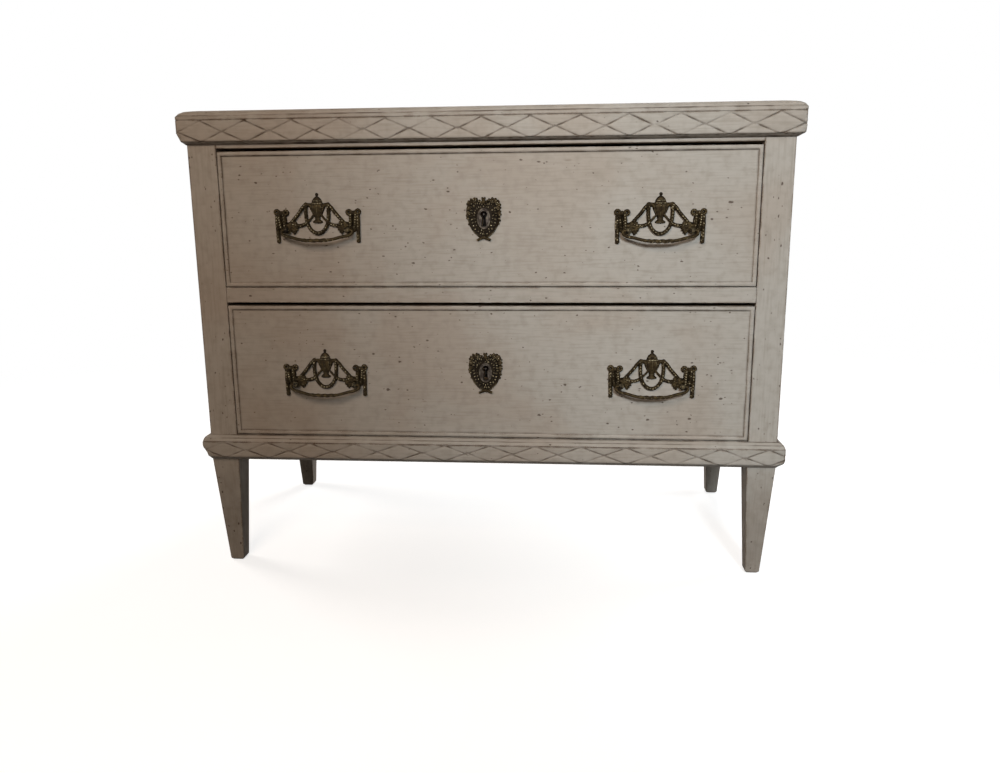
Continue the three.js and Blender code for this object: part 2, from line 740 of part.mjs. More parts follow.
function handlePlate() {
  const urn = turned(urnShares.map(([out, up]) => [out * urnRadius, up * urnHeight]), barSides, alongZ);
  const solids = [urn.scale([1, urnDepthShare, 1]).translate([0, 0, finialRise - urnHeight])];
  const loopHalf = ropeShares.loop.map((share) => onHandle(share, -1));
  const loopRest = ropeShares.loop.toReversed().slice(1).map((share) => onHandle(share, 1));
  solids.push(bar([...loopHalf, ...loopRest], ropeRadius, 4 * ropeSteps, ropeSides));
  const bossPlace = (side) => [(side * boltSpacing) / 2, 0, -boltDrop];
  for (const side of [-1, 1]) {
    for (const name of ["festoon", "swag", "ribbon", "tail"]) {
      const points = ropeShares[name].map((share) => onHandle(share, side));
      solids.push(bar(points, ropeRadius, ropeSteps, ropeSides));
    }
    for (const share of bowShares) {
      const loop = new THREE.TorusGeometry(loopRadius, loopWire, ropeSides - 1, barSides - 1);
      solids.push(solidOf(loop.rotateX(Math.PI / 2)).translate(onHandle(share, side).toArray()));
    }
    solids.push(ball(knotRadius, 1).translate(onHandle(knotShare, side).toArray()));
    solids.push(ball(leafRadius, leafDepthShare).translate(onHandle(leafShare, side).toArray()));
    const boss = rod(bossRadius, -bossThickness, 0, barSides, alongY);
    solids.push(boss.translate(bossPlace(side)));
  }
  const reach = handleHalfWidth + handleHeight;
  const slice = block([-reach, -castingDepth, -reach], [reach, -seatGap, reach]);
  const holes = [-1, 1].map((side) => {
    const hole = rod(boltHoleRadius, -castingDepth - overrun, overrun, barSides, alongY);
    return hole.translate(bossPlace(side));
  });
  return cutAway(joined(solids).intersect(slice), holes);
}

// Eye bolt through the casting and the drawer front, with its nut on the inside
function handleBolt() {
  const neck = -bossThickness - seatGap;
  const eye = -boltReach;
  const profile = [
    [0, eye - boltHeadRadius],
    [boltHeadRadius / 2, eye - boltHeadRadius + seatGap],
    [boltHeadRadius, eye - boltHeadRadius / 3],
    [boltHeadRadius, eye + boltHeadRadius / 3],
    [boltRadius, neck],
    [boltRadius, frontThickness + nutThickness + seatGap + boltRadius],
    [0, frontThickness + nutThickness + seatGap + boltRadius],
  ];
  const half = nutSide / 2;
  const nutNear = frontThickness + seatGap;
  const nut = block([-half, nutNear, -half], [half, nutNear + nutThickness, half]);
  const hole = rod(bailEyeRadius, -boltHeadRadius - overrun, boltHeadRadius + overrun, barSides, alongX);
  return joined([turned(profile, barSides, alongY), nut]).subtract(hole.translate([0, eye, 0]));
}

// Across, forward and down, as shares of the half spacing, the bow and the drop
const bailShares = [
  [1.12, 0, 0], [1.165, 0.035, 0.091], [1.158, 0.139, 0.267], [1.104, 0.296, 0.442], [1.008, 0.47, 0.564],
  [0.875, 0.635, 0.636], [0.75, 0.757, 0.727], [0.577, 0.896, 0.867], [0.385, 0.974, 0.964], [0, 1, 1],
];

// Hangs from the two eyes and bows forward to its grip
function bail() {
  const half = boltSpacing / 2;
  const place = ([across, forward, down], side) => {
    return new THREE.Vector3(side * across * half, -forward * bailBow, -down * bailDrop);
  };
  const left = [new THREE.Vector3(bailPinInset - half, 0, 0), ...bailShares.map((share) => place(share, -1))];
  const right = left.toReversed().slice(1).map((point) => new THREE.Vector3(-point.x, point.y, point.z));
  const wire = bar([...left, ...right], bailRadius, bailSteps, barSides - 2);
  const profile = [
    [0, -gripLength / 2], [bailRadius, -gripLength / 2], [gripRadius, -gripLength / 3],
    [gripRadius, gripLength / 3], [bailRadius, gripLength / 2], [0, gripLength / 2],
  ];
  const grip = turned(profile, barSides, alongX);
  return joined([wire, grip.translate([0, -bailBow, -bailDrop])]);
}

// Escutcheon, around the middle of the keyhole

const ribbonEndShares = [[0.04, 0.78], [0.16, 0.9], [0.34, 1]];
const curlShares = [[0.62, 0.72], [0.86, 0.78]];

// Right half of the leafwork's outline, from the top down
const leafworkShares = [
  [0, 0.78], [0.7, 0.86], [0.95, 0.7], [1, 0.2], [0.92, -0.22], [0.66, -0.62], [0.3, -0.9], [0, -0.94],
];

function escutcheon() {
  const across = escutcheonWidth / 2;
  const up = escutcheonHeight / 2;
  const plate = rod(shieldHeight / 2, -shieldThickness, 0, barSides + ropeSteps, alongY);
  const wreath = new THREE.TorusGeometry(wreathHeight / 2, wreathWire, ropeSides, barSides + ropeSteps);
  const halfLeafwork = leafworkShares.map(([out, rise]) => new THREE.Vector2(out * across, rise * up));
  const otherHalf = halfLeafwork.toReversed().slice(1, -1).map(({ x, y }) => new THREE.Vector2(-x, y));
  const leafwork = prismY([...halfLeafwork, ...otherHalf], -leafworkThickness, 0);
  const stem = [new THREE.Vector3(0, 0, up - knobRadius), new THREE.Vector3(0, 0, wreathHeight / 2)];
  const solids = [
    plate.scale([shieldWidth / shieldHeight, 1, 1]),
    solidOf(wreath.rotateX(Math.PI / 2)).scale([wreathWidth / wreathHeight, 1, 1]),
    leafwork,
    ball(knobRadius, 1).translate([0, 0, up - knobRadius]),
    bar(stem, curlWire, 1, ropeSides),
  ];
  for (const side of [-1, 1]) {
    for (const [out, rise] of curlShares) {
      const curl = new THREE.TorusGeometry(curlRadius, curlWire, ropeSides - 1, barSides - 1);
      const place = [side * (out * across - curlWire), 0, rise * up];
      solids.push(solidOf(curl.rotateX(Math.PI / 2)).translate(place));
    }
    const end = ribbonEndShares.map(([out, down]) => new THREE.Vector3(side * out * across, 0, -down * up));
    solids.push(bar(end, curlWire, 2, ropeSides));
  }
  const slice = block([-up, -castingDepth, -up], [up, -seatGap, up]);
  const keyhole = prismY(keyholeOutline(), -castingDepth - overrun, overrun);
  return joined(solids).intersect(slice).subtract(keyhole);
}

// Lock, around the middle of the keyhole on the face of the drawer front

function lockBolt(sizes) {
  const half = lockBoltWidth / 2;
  const top = sizes.height / 2 - lockBoltInset;
  return block(
    [-half, boltMiddle - lockBoltThickness / 2, lockBoltFoot],
    [half, boltMiddle + lockBoltThickness / 2, top],
  );
}

// Iron plate and case inside the front, with a keeper for the bolt and a drill pin for the key
function lock(sizes) {
  const near = frontThickness + seatGap;
  const plateFar = near + lockPlateThickness;
  const neckTop = sizes.height / 2 - lockNeckInset;
  const shoulder = lockCaseHeight / 2 + keeperWall;
  const outline = [
    [-lockPlateWidth / 2, -shoulder], [lockPlateWidth / 2, -shoulder], [lockPlateWidth / 2, shoulder],
    [lockNeckWidth / 2, shoulder + keeperHeight], [lockNeckWidth / 2, neckTop], [-lockNeckWidth / 2, neckTop],
    [-lockNeckWidth / 2, shoulder + keeperHeight], [-lockPlateWidth / 2, shoulder],
  ].map(([x, z]) => new THREE.Vector2(x, z));
  const plate = prismY(outline, near, plateFar);
  const body = block(
    [-lockCaseWidth / 2, near, -lockCaseHeight / 2],
    [lockCaseWidth / 2, near + lockCaseDepth, lockCaseHeight / 2],
  );
  const half = lockBoltWidth / 2;
  const boltNear = boltMiddle - lockBoltThickness / 2;
  const boltFar = boltMiddle + lockBoltThickness / 2;
  const keeper = block(
    [-half - keeperWall, near, neckTop - keeperHeight],
    [half + keeperWall, boltFar + keeperWall, neckTop],
  );
  const channel = block([-half, boltNear, lockBoltFoot], [half, boltFar, neckTop + overrun], lockBoltGap);
  const keyway = prismY(keyholeOutline(), near - overrun, near + lockCaseDepth - keeperWall);
  const pinZ = keyholeHeight / 2 - keyholeHead;
  const pin = rod(drillPinRadius, -drillPinInset, near + lockCaseDepth - overrun / 2, barSides, alongY);
  const hollowed = cutAway(joined([plate, body, keeper]), [channel, keyway]);
  return joined([hollowed, pin.translate([0, 0, pinZ])]);
}

// Assembly

const commode = new THREE.Group();
commode.position.y = (frontReach - caseDepth) / 2;

for (const [sideName, side] of Object.entries(sideNames)) {
  piece(commode, `front_${sideName}_post`, post(side, false), paint);
  piece(commode, `rear_${sideName}_post`, post(side, true), paint);
  piece(commode, `${sideName}_side_panel`, sidePanel(side), paint);
  piece(commode, `lower_${sideName}_runner`, runner(side, bottomRailTop, lowerRunnerThickness), bareWood);
  piece(commode, `upper_${sideName}_runner`, runner(side, middleRailTop, upperRunnerThickness), bareWood);
  const upperSideTop = middleRailTop + bottomClearance + drawerSizes(upperOpeningHeight).sideTop;
  piece(commode, `${sideName}_kicker`, kicker(side, upperSideTop), bareWood);
}
piece(commode, "frieze_rail", rail(false, railLevels.frieze, true), paint);
piece(commode, "middle_rail", rail(false, railLevels.middle, true), paint);
piece(commode, "bottom_rail", rail(false, railLevels.bottom, false), paint);
piece(commode, "rear_top_rail", rail(true, railLevels.frieze, false), bareWood);
piece(commode, "rear_bottom_rail", rail(true, railLevels.bottom, false), bareWood);
piece(commode, "back_panel", backPanel(), bareWood);
piece(commode, "bottom_board", bottomBoard(), bareWood);
piece(commode, "top_board", topBoard(), paint);
for (const place of ["front", "left", "right"]) {
  const top = moulding(topMouldingProfile(), place, topOverhang, topCorner);
  const base = moulding(baseMouldingProfile(), place, baseProjection, baseCorner);
  piece(commode, `top_moulding_${place}`, top, paint);
  piece(commode, `base_moulding_${place}`, base, paint);
}

const drawers = [
  { name: "lower", bottom: bottomRailTop, openingHeight: lowerOpeningHeight },
  { name: "upper", bottom: middleRailTop, openingHeight: upperOpeningHeight },
];
for (const { name, bottom, openingHeight } of drawers) {
  const sizes = drawerSizes(openingHeight);
  const drawer = new THREE.Group();
  drawer.position.z = bottom + bottomClearance;
  commode.add(drawer);
  piece(drawer, `${name}_drawer_front`, drawerFront(sizes, handleMoves[name]), paint);
  piece(drawer, `${name}_drawer_left_side`, drawerSide(sizes, -1), bareWood);
  piece(drawer, `${name}_drawer_right_side`, drawerSide(sizes, 1), bareWood);
  piece(drawer, `${name}_drawer_back`, drawerBack(sizes), bareWood);
  piece(drawer, `${name}_drawer_bottom`, drawerBottom(sizes), bareWood);
  piece(drawer, `${name}_cock_bead`, cockBead(sizes), paint);

  const fittings = new THREE.Group();
  fittings.position.set(0, frontSetback, sizes.height / 2);
  drawer.add(fittings);
  piece(fittings, `${name}_escutcheon`, escutcheon(), castBrass);
  piece(fittings, `${name}_lock`, lock(sizes), iron);
  piece(fittings, `${name}_lock_bolt`, lockBolt(sizes), iron);

  for (const [sideName, side] of Object.entries(sideNames)) {
    const [shift, rise] = handleMoves[name][sideName];
    const handle = new THREE.Group();
    handle.position.set(side * handlePlace + shift, 0, rise);
    fittings.add(handle);
    piece(handle, `${name}_${sideName}_handle_plate`, handlePlate(), castBrass);
    for (const [endName, end] of Object.entries(sideNames)) {
      const place = new THREE.Group();
      place.position.set((end * boltSpacing) / 2, 0, -boltDrop);
      handle.add(place);
      piece(place, `${name}_${sideName}_handle_${endName}_bolt`, handleBolt(), castBrass);
    }
    const swing = new THREE.Group();
    swing.position.set(0, -boltReach, -boltDrop);
    handle.add(swing);
    piece(swing, `${name}_${sideName}_bail`, bail(), castBrass);
  }
}

export default commode;
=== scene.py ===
import random
from math import asin, atan2, cos, pi, radians, sin

import bmesh
import bpy
from mathutils import Matrix, Vector, noise
from mathutils.geometry import delaunay_2d_cdt


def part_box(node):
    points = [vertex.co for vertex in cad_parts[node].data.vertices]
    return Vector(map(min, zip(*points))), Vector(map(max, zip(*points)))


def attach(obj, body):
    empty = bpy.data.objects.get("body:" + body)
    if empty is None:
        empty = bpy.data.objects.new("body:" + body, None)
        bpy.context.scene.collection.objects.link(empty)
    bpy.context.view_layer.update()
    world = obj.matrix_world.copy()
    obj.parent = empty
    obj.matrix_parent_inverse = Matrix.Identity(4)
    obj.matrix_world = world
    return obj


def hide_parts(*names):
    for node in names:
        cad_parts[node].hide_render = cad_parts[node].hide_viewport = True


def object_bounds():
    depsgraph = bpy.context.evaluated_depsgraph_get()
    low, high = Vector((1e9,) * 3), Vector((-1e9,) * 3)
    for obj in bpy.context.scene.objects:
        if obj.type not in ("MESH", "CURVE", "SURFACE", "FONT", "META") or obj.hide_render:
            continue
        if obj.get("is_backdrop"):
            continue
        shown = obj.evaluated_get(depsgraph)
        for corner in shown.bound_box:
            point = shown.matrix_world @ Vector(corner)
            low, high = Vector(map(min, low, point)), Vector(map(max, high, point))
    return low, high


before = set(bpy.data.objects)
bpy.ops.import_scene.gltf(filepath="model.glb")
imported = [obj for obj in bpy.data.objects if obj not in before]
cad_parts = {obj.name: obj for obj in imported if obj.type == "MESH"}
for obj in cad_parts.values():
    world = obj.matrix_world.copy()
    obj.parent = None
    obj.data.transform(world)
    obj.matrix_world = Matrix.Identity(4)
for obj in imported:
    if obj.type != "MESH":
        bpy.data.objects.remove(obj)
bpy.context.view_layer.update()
scene = bpy.context.scene
MM = 0.001

# Where the chest is seen from: a camera a little right of its middle and below its top, tipped down,
# with a view as wide as a telephone's.
eye_place = (0.1398, -1.62335, 0.6365)
eye_turn, eye_tip, eye_lean = -0.0822, 0.2091, -0.0079
eye_lens, eye_far = 29.736, 200


def set_out(name, data):
    made = bpy.data.objects.new(name, data)
    scene.collection.objects.link(made)
    return made


flat_share = cos(eye_tip)
ahead = Vector((sin(eye_turn) * flat_share, cos(eye_turn) * flat_share, -sin(eye_tip)))
level = Vector((cos(eye_turn), -sin(eye_turn), 0))
upright = level.cross(ahead)
across = cos(eye_lean) * level + sin(eye_lean) * upright
upward = cos(eye_lean) * upright - sin(eye_lean) * level
camera = set_out("camera", bpy.data.cameras.new("camera"))
camera.data.lens = eye_lens
camera.data.clip_end = eye_far
turn = Matrix((across, upward, -ahead)).transposed().to_4x4()
camera.matrix_world = Matrix.Translation(eye_place) @ turn
scene.camera = camera
scene.view_settings.view_transform = "Standard"


# The room: a pale floor that fades into white. Cool daylight falls high from the right and leaves the left
# side of the chest and its feet to a weaker, warmer light. Soft lamps stand behind and beside it.

# Adds a shader node to the tree that its inputs come from, or to a tree that is given
def add(kind, inputs=(), tree=None, **settings):
    for value in dict(inputs).values():
        tree = getattr(value, "id_data", tree)
    made = tree.nodes.new("ShaderNode" + kind)
    for key, value in settings.items():
        setattr(made, key, value)
    for key, value in dict(inputs).items():
        if isinstance(value, bpy.types.NodeSocket):
            tree.links.new(value, made.inputs[key])
        else:
            made.inputs[key].default_value = value
    return made


def sums(operation, *values):
    return add("Math", dict(enumerate(values)), operation=operation).outputs[0]


def seen_directly(tree):
    ray = add("LightPath", tree=tree).outputs
    seen = sums("MAXIMUM", ray["Is Camera Ray"], ray["Is Glossy Ray"])
    return sums("MAXIMUM", seen, ray["Is Transmission Ray"])


room_light = 0.05
room_colour = (1.0, 0.95, 0.88, 1)
floor_seen = (0.7, 0.7, 0.7, 1)
floor_bounce = (0.075, 0.06, 0.045, 1)
floor_lift = 0.72
floor_half, floor_gap = 30.0, 0.5 * MM
clear_near, clear_far = 0.9, 2.6
beam_edge, beam_source = 0.25, 0.3

room = bpy.data.worlds.new("room")
room.use_nodes = True
scene.world = room
tree = room.node_tree
tree.nodes.clear()
dim = add("Background", {"Color": room_colour, "Strength": room_light}, tree).outputs[0]
white = add("Background", {"Color": (1, 1, 1, 1)}, tree).outputs[0]
both = add("MixShader", {0: seen_directly(tree), 1: dim, 2: white}).outputs[0]
add("OutputWorld", {"Surface": both})

floor_mesh = bpy.data.meshes.new("floor")
floor_corners = [(x * floor_half, y * floor_half, 0) for x, y in ((-1, -1), (1, -1), (1, 1), (-1, 1))]
floor_mesh.from_pydata(floor_corners, [], [(0, 1, 2, 3)])
floor = set_out("floor", floor_mesh)
floor.location.z = -floor_gap
floor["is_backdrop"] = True
floor_finish = bpy.data.materials.new("pale floor")
floor_finish.use_nodes = True
tree = floor_finish.node_tree
tree.nodes.clear()
matt = add("BsdfDiffuse", {"Color": floor_seen}, tree).outputs[0]
bounce = add("BsdfDiffuse", {"Color": floor_bounce}, tree).outputs[0]
lift = add("Emission", {"Strength": floor_lift}, tree).outputs[0]
lifted = add("AddShader", {0: matt, 1: lift}).outputs[0]
clear = add("Emission", tree=tree).outputs[0]
spot = add("TexCoord", tree=tree).outputs["Object"]
away = add("VectorMath", {0: spot}, operation="LENGTH").outputs["Value"]
reach = {"Value": away, "From Min": clear_near, "From Max": clear_far}
far = add("MapRange", reach, interpolation_type="SMOOTHSTEP").outputs[0]
near_floor = add("MixShader", {0: far, 1: lifted, 2: clear}).outputs[0]
whole_floor = add("MixShader", {0: seen_directly(tree), 1: bounce, 2: near_floor}).outputs[0]
add("OutputMaterial", {"Surface": whole_floor})
floor_mesh.materials.append(floor_finish)


def lamp(name, place, target, watts, colour, width=None, beam=None):
    light = bpy.data.lights.new(name, "SPOT" if beam else "AREA")
    light.energy, light.color = watts, colour
    if beam:
        light.spot_size = radians(beam)
        light.spot_blend, light.shadow_soft_size = beam_edge, beam_source
    else:
        light.size = width
    made = set_out(name, light)
    made.location = place
    made.rotation_mode = "QUATERNION"
    made.rotation_quaternion = (Vector(target) - Vector(place)).to_track_quat("-Z", "Y")
    made.visible_camera = False


lamp("window", (0.9, -3.6, 1.85), (1.0, -0.23, 0.9), 375, (0.83, 0.94, 1.0), beam=39.5)
lamp("warm side", (-0.45, -1.9, 1.45), (-0.1, -0.23, 0.75), 16, (1.0, 0.82, 0.66), width=0.8)
lamp("left side", (-2.2, 0.75, 1.5), (-0.5, 0.1, 0.5), 17, (1.0, 0.96, 0.92), width=0.8)
lamp("right side", (2.3, 0.7, 1.3), (0.5, 0.1, 0.5), 12, (1.0, 0.97, 0.94), width=0.8)
lamp("behind", (0.5, 2.3, 1.6), (0, 0.25, 0.5), 26, (1.0, 0.97, 0.94), width=1.0)


# The four posts: square above, tapering on every face into the legs. They are beech or pine, brushed with
# distemper paint that has pitted, and rubbed down to the brown wood along the arrises.
def tone(red, green, blue):
    return tuple(((v / 255 + 0.055) / 1.055) ** 2.4 for v in (red, green, blue)) + (1,)


def blended(share, low, high):
    return add("Mix", {0: share, 6: low, 7: high}, data_type="RGBA").outputs[2]


def ramped(value, low, high, first=0.0, last=1.0):
    sockets = {"Value": value, "From Min": low, "From Max": high, "To Min": first, "To Max": last}
    return add("MapRange", sockets, interpolation_type="SMOOTHSTEP").outputs[0]


def clouded(place, scale, detail=3.0, distortion=0.0):
    sockets = {"Vector": place, "Scale": scale, "Detail": detail, "Distortion": distortion}
    return add("TexNoise", sockets).outputs[0]


def scaled(place, factors):
    return add("VectorMath", {0: place, 1: factors}, operation="MULTIPLY").outputs[0]


def axes(place):
    return add("SeparateXYZ", {0: place}).outputs


# Factors that draw a pattern out along one axis, from the one along it and the one across it
def drawn_out(along, factors):
    return tuple(factors[0] if axis == along else factors[1] for axis in "XYZ")


def stretched(place, along, factors, detail):
    return clouded(scaled(place, drawn_out(along, factors)), 1.0, detail)


# A new finish, with its tree, its shader and the place on the chest that patterns are laid by
def new_finish(name):
    finish = bpy.data.materials.new(name)
    finish.use_nodes = True
    tree = finish.node_tree
    place = add("TexCoord", tree=tree).outputs["Object"]
    return finish, tree, tree.nodes["Principled BSDF"], place


def coated(shader, colour, roughness, height, strength, distance):
    normal = add("Bump", {"Height": height, "Strength": strength, "Distance": distance}).outputs[0]
    for name, socket in (("Base Color", colour), ("Roughness", roughness), ("Normal", normal)):
        socket.id_data.links.new(socket, shader.inputs[name])


pit_wander, pit_wander_scale = 2.6 * MM, 260.0


# Pits: round holes of mixed size, cut by the surface out of a scatter of balls
def pitting(place, scale, radius, gathered, soft):
    sockets = {"Vector": place, "Scale": pit_wander_scale, "Detail": 1.0}
    shift = scaled(add("TexNoise", sockets).outputs["Color"], (pit_wander,) * 3)
    moved = add("VectorMath", {0: place, 1: shift}, operation="ADD").outputs[0]
    cell = add("TexVoronoi", {"Vector": moved, "Scale": scale})
    size = add("SeparateColor", {0: cell.outputs["Color"]}).outputs[0]
    reach = sums("MULTIPLY", sums("MULTIPLY", size, gathered), radius * scale)
    share = sums("DIVIDE", cell.outputs["Distance"], sums("MAXIMUM", reach, 0.0001))
    return ramped(share, 1.0, soft)


paint_light = tone(179, 171, 162)
paint_dark = tone(146, 136, 124)
paint_warm = tone(171, 158, 146)
pit_brown = tone(66, 48, 37)
worn_and_shade_brown = tone(92, 72, 54)
grime_and_shade_brown = tone(62, 48, 35)
stroke_grain, pit_grain, pit_soft, smudge_soft = (20, 330), (0.6, 1), 0.55, 0.1
drift_scale, mottle_scale, gather_scale, patch_scale = 5.0, 70.0, 9.0, 38.0
large_pit, small_pit, smudge_size, worn_reach = 3.1 * MM, 1.7 * MM, 4.5 * MM, 4.5 * MM
large_scale, small_scale, smudge_scale = 70.0, 125.0, 34.0


def painted(name, along, worn=1.0, pitted=1.0, line=None, cover=None):
    finish, tree, shader, place = new_finish(name)
    strokes = stretched(place, along, stroke_grain, 2.0)
    drifts = clouded(place, drift_scale, 3.0, 0.6)
    mottles = clouded(place, mottle_scale, 4.0)
    colour = blended(ramped(drifts, 0.4, 0.66, 0.0, 0.8), paint_light, paint_warm)
    colour = blended(ramped(mottles, 0.4, 0.8, 0.0, 0.4), colour, paint_dark)
    colour = blended(ramped(strokes, 0.42, 0.78, 0.0, 0.34), colour, paint_dark)
    gathered = ramped(clouded(place, gather_scale, 2.0), 0.38, 0.66, 0.5, 1.0)
    drawn = scaled(place, drawn_out(along, pit_grain))
    large = pitting(drawn, large_scale, large_pit * pitted, gathered, pit_soft)
    small = pitting(drawn, small_scale, small_pit * pitted, gathered, pit_soft)
    pits = sums("MAXIMUM", large, small)
    drawn = scaled(drawn, drawn_out("X", pit_grain))
    smudge = pitting(drawn, smudge_scale, smudge_size * pitted, gathered, smudge_soft)
    colour = blended(sums("MULTIPLY", smudge, 0.28), colour, worn_and_shade_brown)
    colour = blended(sums("MULTIPLY", pits, 0.8), colour, pit_brown)
    # The bevel finds arrises rubbed through to brown wood, and inside corners too, where the brown is painted
    # shade
    rounded = add("Bevel", {"Radius": worn_reach}, tree, samples=4).outputs[0]
    facing = add("NewGeometry", tree=tree).outputs["Normal"]
    same = add("VectorMath", {0: rounded, 1: facing}, operation="DOT_PRODUCT").outputs["Value"]
    edge = sums("SUBTRACT", 1.0, same)
    patchy = clouded(place, patch_scale, 4.0)
    edge = sums("MULTIPLY", edge, ramped(patchy, 0.36, 0.72, 0.05, 2.4 * worn))
    colour = blended(ramped(edge, 0.03, 0.2, 0.0, 0.92), colour, worn_and_shade_brown)
    # Dirt and painted shade, from the meshes' marks and from the line given, darken the paint here
    grime_and_shade = add("Attribute", tree=tree, attribute_name="grime_and_shade").outputs["Fac"]
    if line:
        grime_and_shade = sums("MAXIMUM", grime_and_shade, line(place))
    grime_and_shade = sums("MULTIPLY", grime_and_shade, ramped(patchy, 0.3, 0.6, 0.6, 1.0))
    colour = blended(grime_and_shade, colour, grime_and_shade_brown)
    if cover:
        covered, cover_colour = cover(place)
        colour = blended(covered, colour, cover_colour)
        pits = sums("MULTIPLY", pits, sums("SUBTRACT", 1.0, covered))
    shader.inputs["Specular IOR Level"].default_value = 0.2
    height = sums("SUBTRACT", sums("MULTIPLY", strokes, 0.35), pits)
    height = sums("ADD", height, sums("MULTIPLY", mottles, 0.3))
    coated(shader, colour, ramped(strokes, 0.3, 0.7, 0.62, 0.78), height, 0.5, 0.5 * MM)
    return finish


# Softens the arrises of a board that the frame holds, and gives it its finish
def finished(name, finish, arris=0.8 * MM):
    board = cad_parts[name]
    board.data.materials.clear()
    board.data.materials.append(finish)
    weld = board.modifiers.new("weld", "WELD")
    weld.merge_threshold = 0.02 * MM
    ease = board.modifiers.new("ease", "BEVEL")
    ease.width, ease.segments = arris, 2
    ease.limit_method, ease.angle_limit = "ANGLE", radians(40)


feet_dark_top, feet_dark_full, feet_dark_share = 0.24, 0.12, 0.26


# Darker towards the feet of the legs
def darker_to_feet(place):
    return ramped(axes(place)[2], feet_dark_top, feet_dark_full, 0.0, feet_dark_share)


post_paint = painted("painted upright wood", "Z", worn=1.5, pitted=1.15, line=darker_to_feet)
for corner in ("front_left", "front_right", "rear_left", "rear_right"):
    finished(corner + "_post", post_paint, 1.2 * MM)

# Rails tenoned into the posts between and under the drawers, painted with them, and the side panels,
# wide boards whose tongues sit in grooves of the posts.
rail_paint = painted("painted level wood", "X")
side_paint = painted("painted side boards", "Z", worn=0.8)
for rail in ("frieze_rail", "middle_rail", "bottom_rail"):
    finished(rail, rail_paint)
for side in ("left", "right"):
    finished(side + "_side_panel", side_paint)

# Top board, glued up from wide boards and painted. Its edge is rounded over a fine step, and use has worn its
# front corners round.
step_line, step_dirt_and_shade = 0.7948, (1.4 * MM, 0.4 * MM)
board_joints, joint_dirt = (-0.072, 0.094), (0.9 * MM, 0.3 * MM)
step_line_grain = (60, 14)


def apart(one, other):
    return sums("ABSOLUTE", sums("SUBTRACT", one, other))


# Dirt and painted shade in the step of the edge, and dirt in the joints between the boards
def top_dirt_and_shade(place):
    parts = axes(place)
    # A darker line along the step: dirt and painted shade
    off_step = apart(parts[2], step_line)
    broken = ramped(stretched(place, "Z", step_line_grain, 4.0), 0.35, 0.6, 0.1, 0.8)
    dirt_and_shade = sums("MULTIPLY", ramped(off_step, *step_dirt_and_shade), broken)
    for joint in board_joints:
        off_joint = apart(parts[1], joint)
        dirt_and_shade = sums("MAXIMUM", dirt_and_shade, ramped(off_joint, *joint_dirt, 0.0, 0.85))
    return dirt_and_shade


top_paint = painted("painted top board", "X", worn=1.1, pitted=0.9, line=top_dirt_and_shade)
finished("top_board", top_paint, 0.6 * MM)

# Inside of the case in bare pine: bottom and back boards, the rails behind, and the runners with their
# guides and stops, glued and pegged between the posts.
wood_light = tone(177, 149, 112)
wood_dark = tone(136, 105, 73)
wood_aged = tone(104, 83, 60)
ring_grain, ring_count, fibre_grain = (1.3, 30), 9.0, (9, 700)


def pine_colour(place, along):
    swirl = stretched(place, along, ring_grain, 2.0)
    rings = sums("FRACT", sums("MULTIPLY", swirl, ring_count))
    fibres = stretched(place, along, fibre_grain, 3.0)
    colour = blended(ramped(rings, 0.2, 0.95, 0.0, 0.6), wood_light, wood_dark)
    colour = blended(ramped(fibres, 0.4, 0.75, 0.0, 0.5), colour, wood_dark)
    aged = ramped(clouded(place, 6.0), 0.4, 0.75, 0.0, 0.5)
    return blended(aged, colour, wood_aged), fibres


def bare_pine(name, along):
    finish, _, shader, place = new_finish(name)
    colour, fibres = pine_colour(place, along)
    coated(shader, colour, ramped(fibres, 0.3, 0.7, 0.62, 0.8), fibres, 0.4, 0.4 * MM)
    return finish


pine_across = bare_pine("bare pine across", "X")
pine_deep = bare_pine("bare pine deep", "Y")
for board in ("back_panel", "rear_top_rail", "rear_bottom_rail", "bottom_board"):
    finished(board, pine_across, 0.5 * MM)
for side in ("left", "right"):
    for board in (f"lower_{side}_runner", f"upper_{side}_runner", f"{side}_kicker"):
        finished(board, pine_deep, 0.5 * MM)

# Carved mouldings under the top board and round the base: a length on the front and one on each side,
# mitred at the rounded corners and glued on. A row of lozenges is cut into each with a V tool.
front_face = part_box("front_left_post")[0].y
rear_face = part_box("rear_left_post")[1].y
half_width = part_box("front_right_post")[1].x
depth = rear_face - front_face
joint_gap = 0.3 * MM
cut_width, cut_depth = 4.2 * MM, 1.3 * MM
cut_wander, tip_wander, tip_gap = 0.7 * MM, 0.9 * MM, 3.6 * MM
# How dark the V cuts and the lower edge of a moulding's face are made: dirt and painted shade
cut_dirt_and_shade, lower_edge_dirt_and_shade, lower_edge_shade_from, lower_edge_shade_span = 0.78, 0.7, 0.9, 0.1
face_points, row_count = 6, 7
side_wear_spread, front_wear_spread = 70 * MM, 22 * MM
right_wear_height, right_wear_share = 0.45, 0.8
carver = random.Random(11)


def strayed(value, most):
    return value + carver.uniform(-1, 1) * most


# Distances along a row of points
def lengths_along(points):
    run = [0.0]
    for near, next_one in zip(points, points[1:]):
        run.append(run[-1] + (Vector(next_one) - Vector(near)).length)
    return run


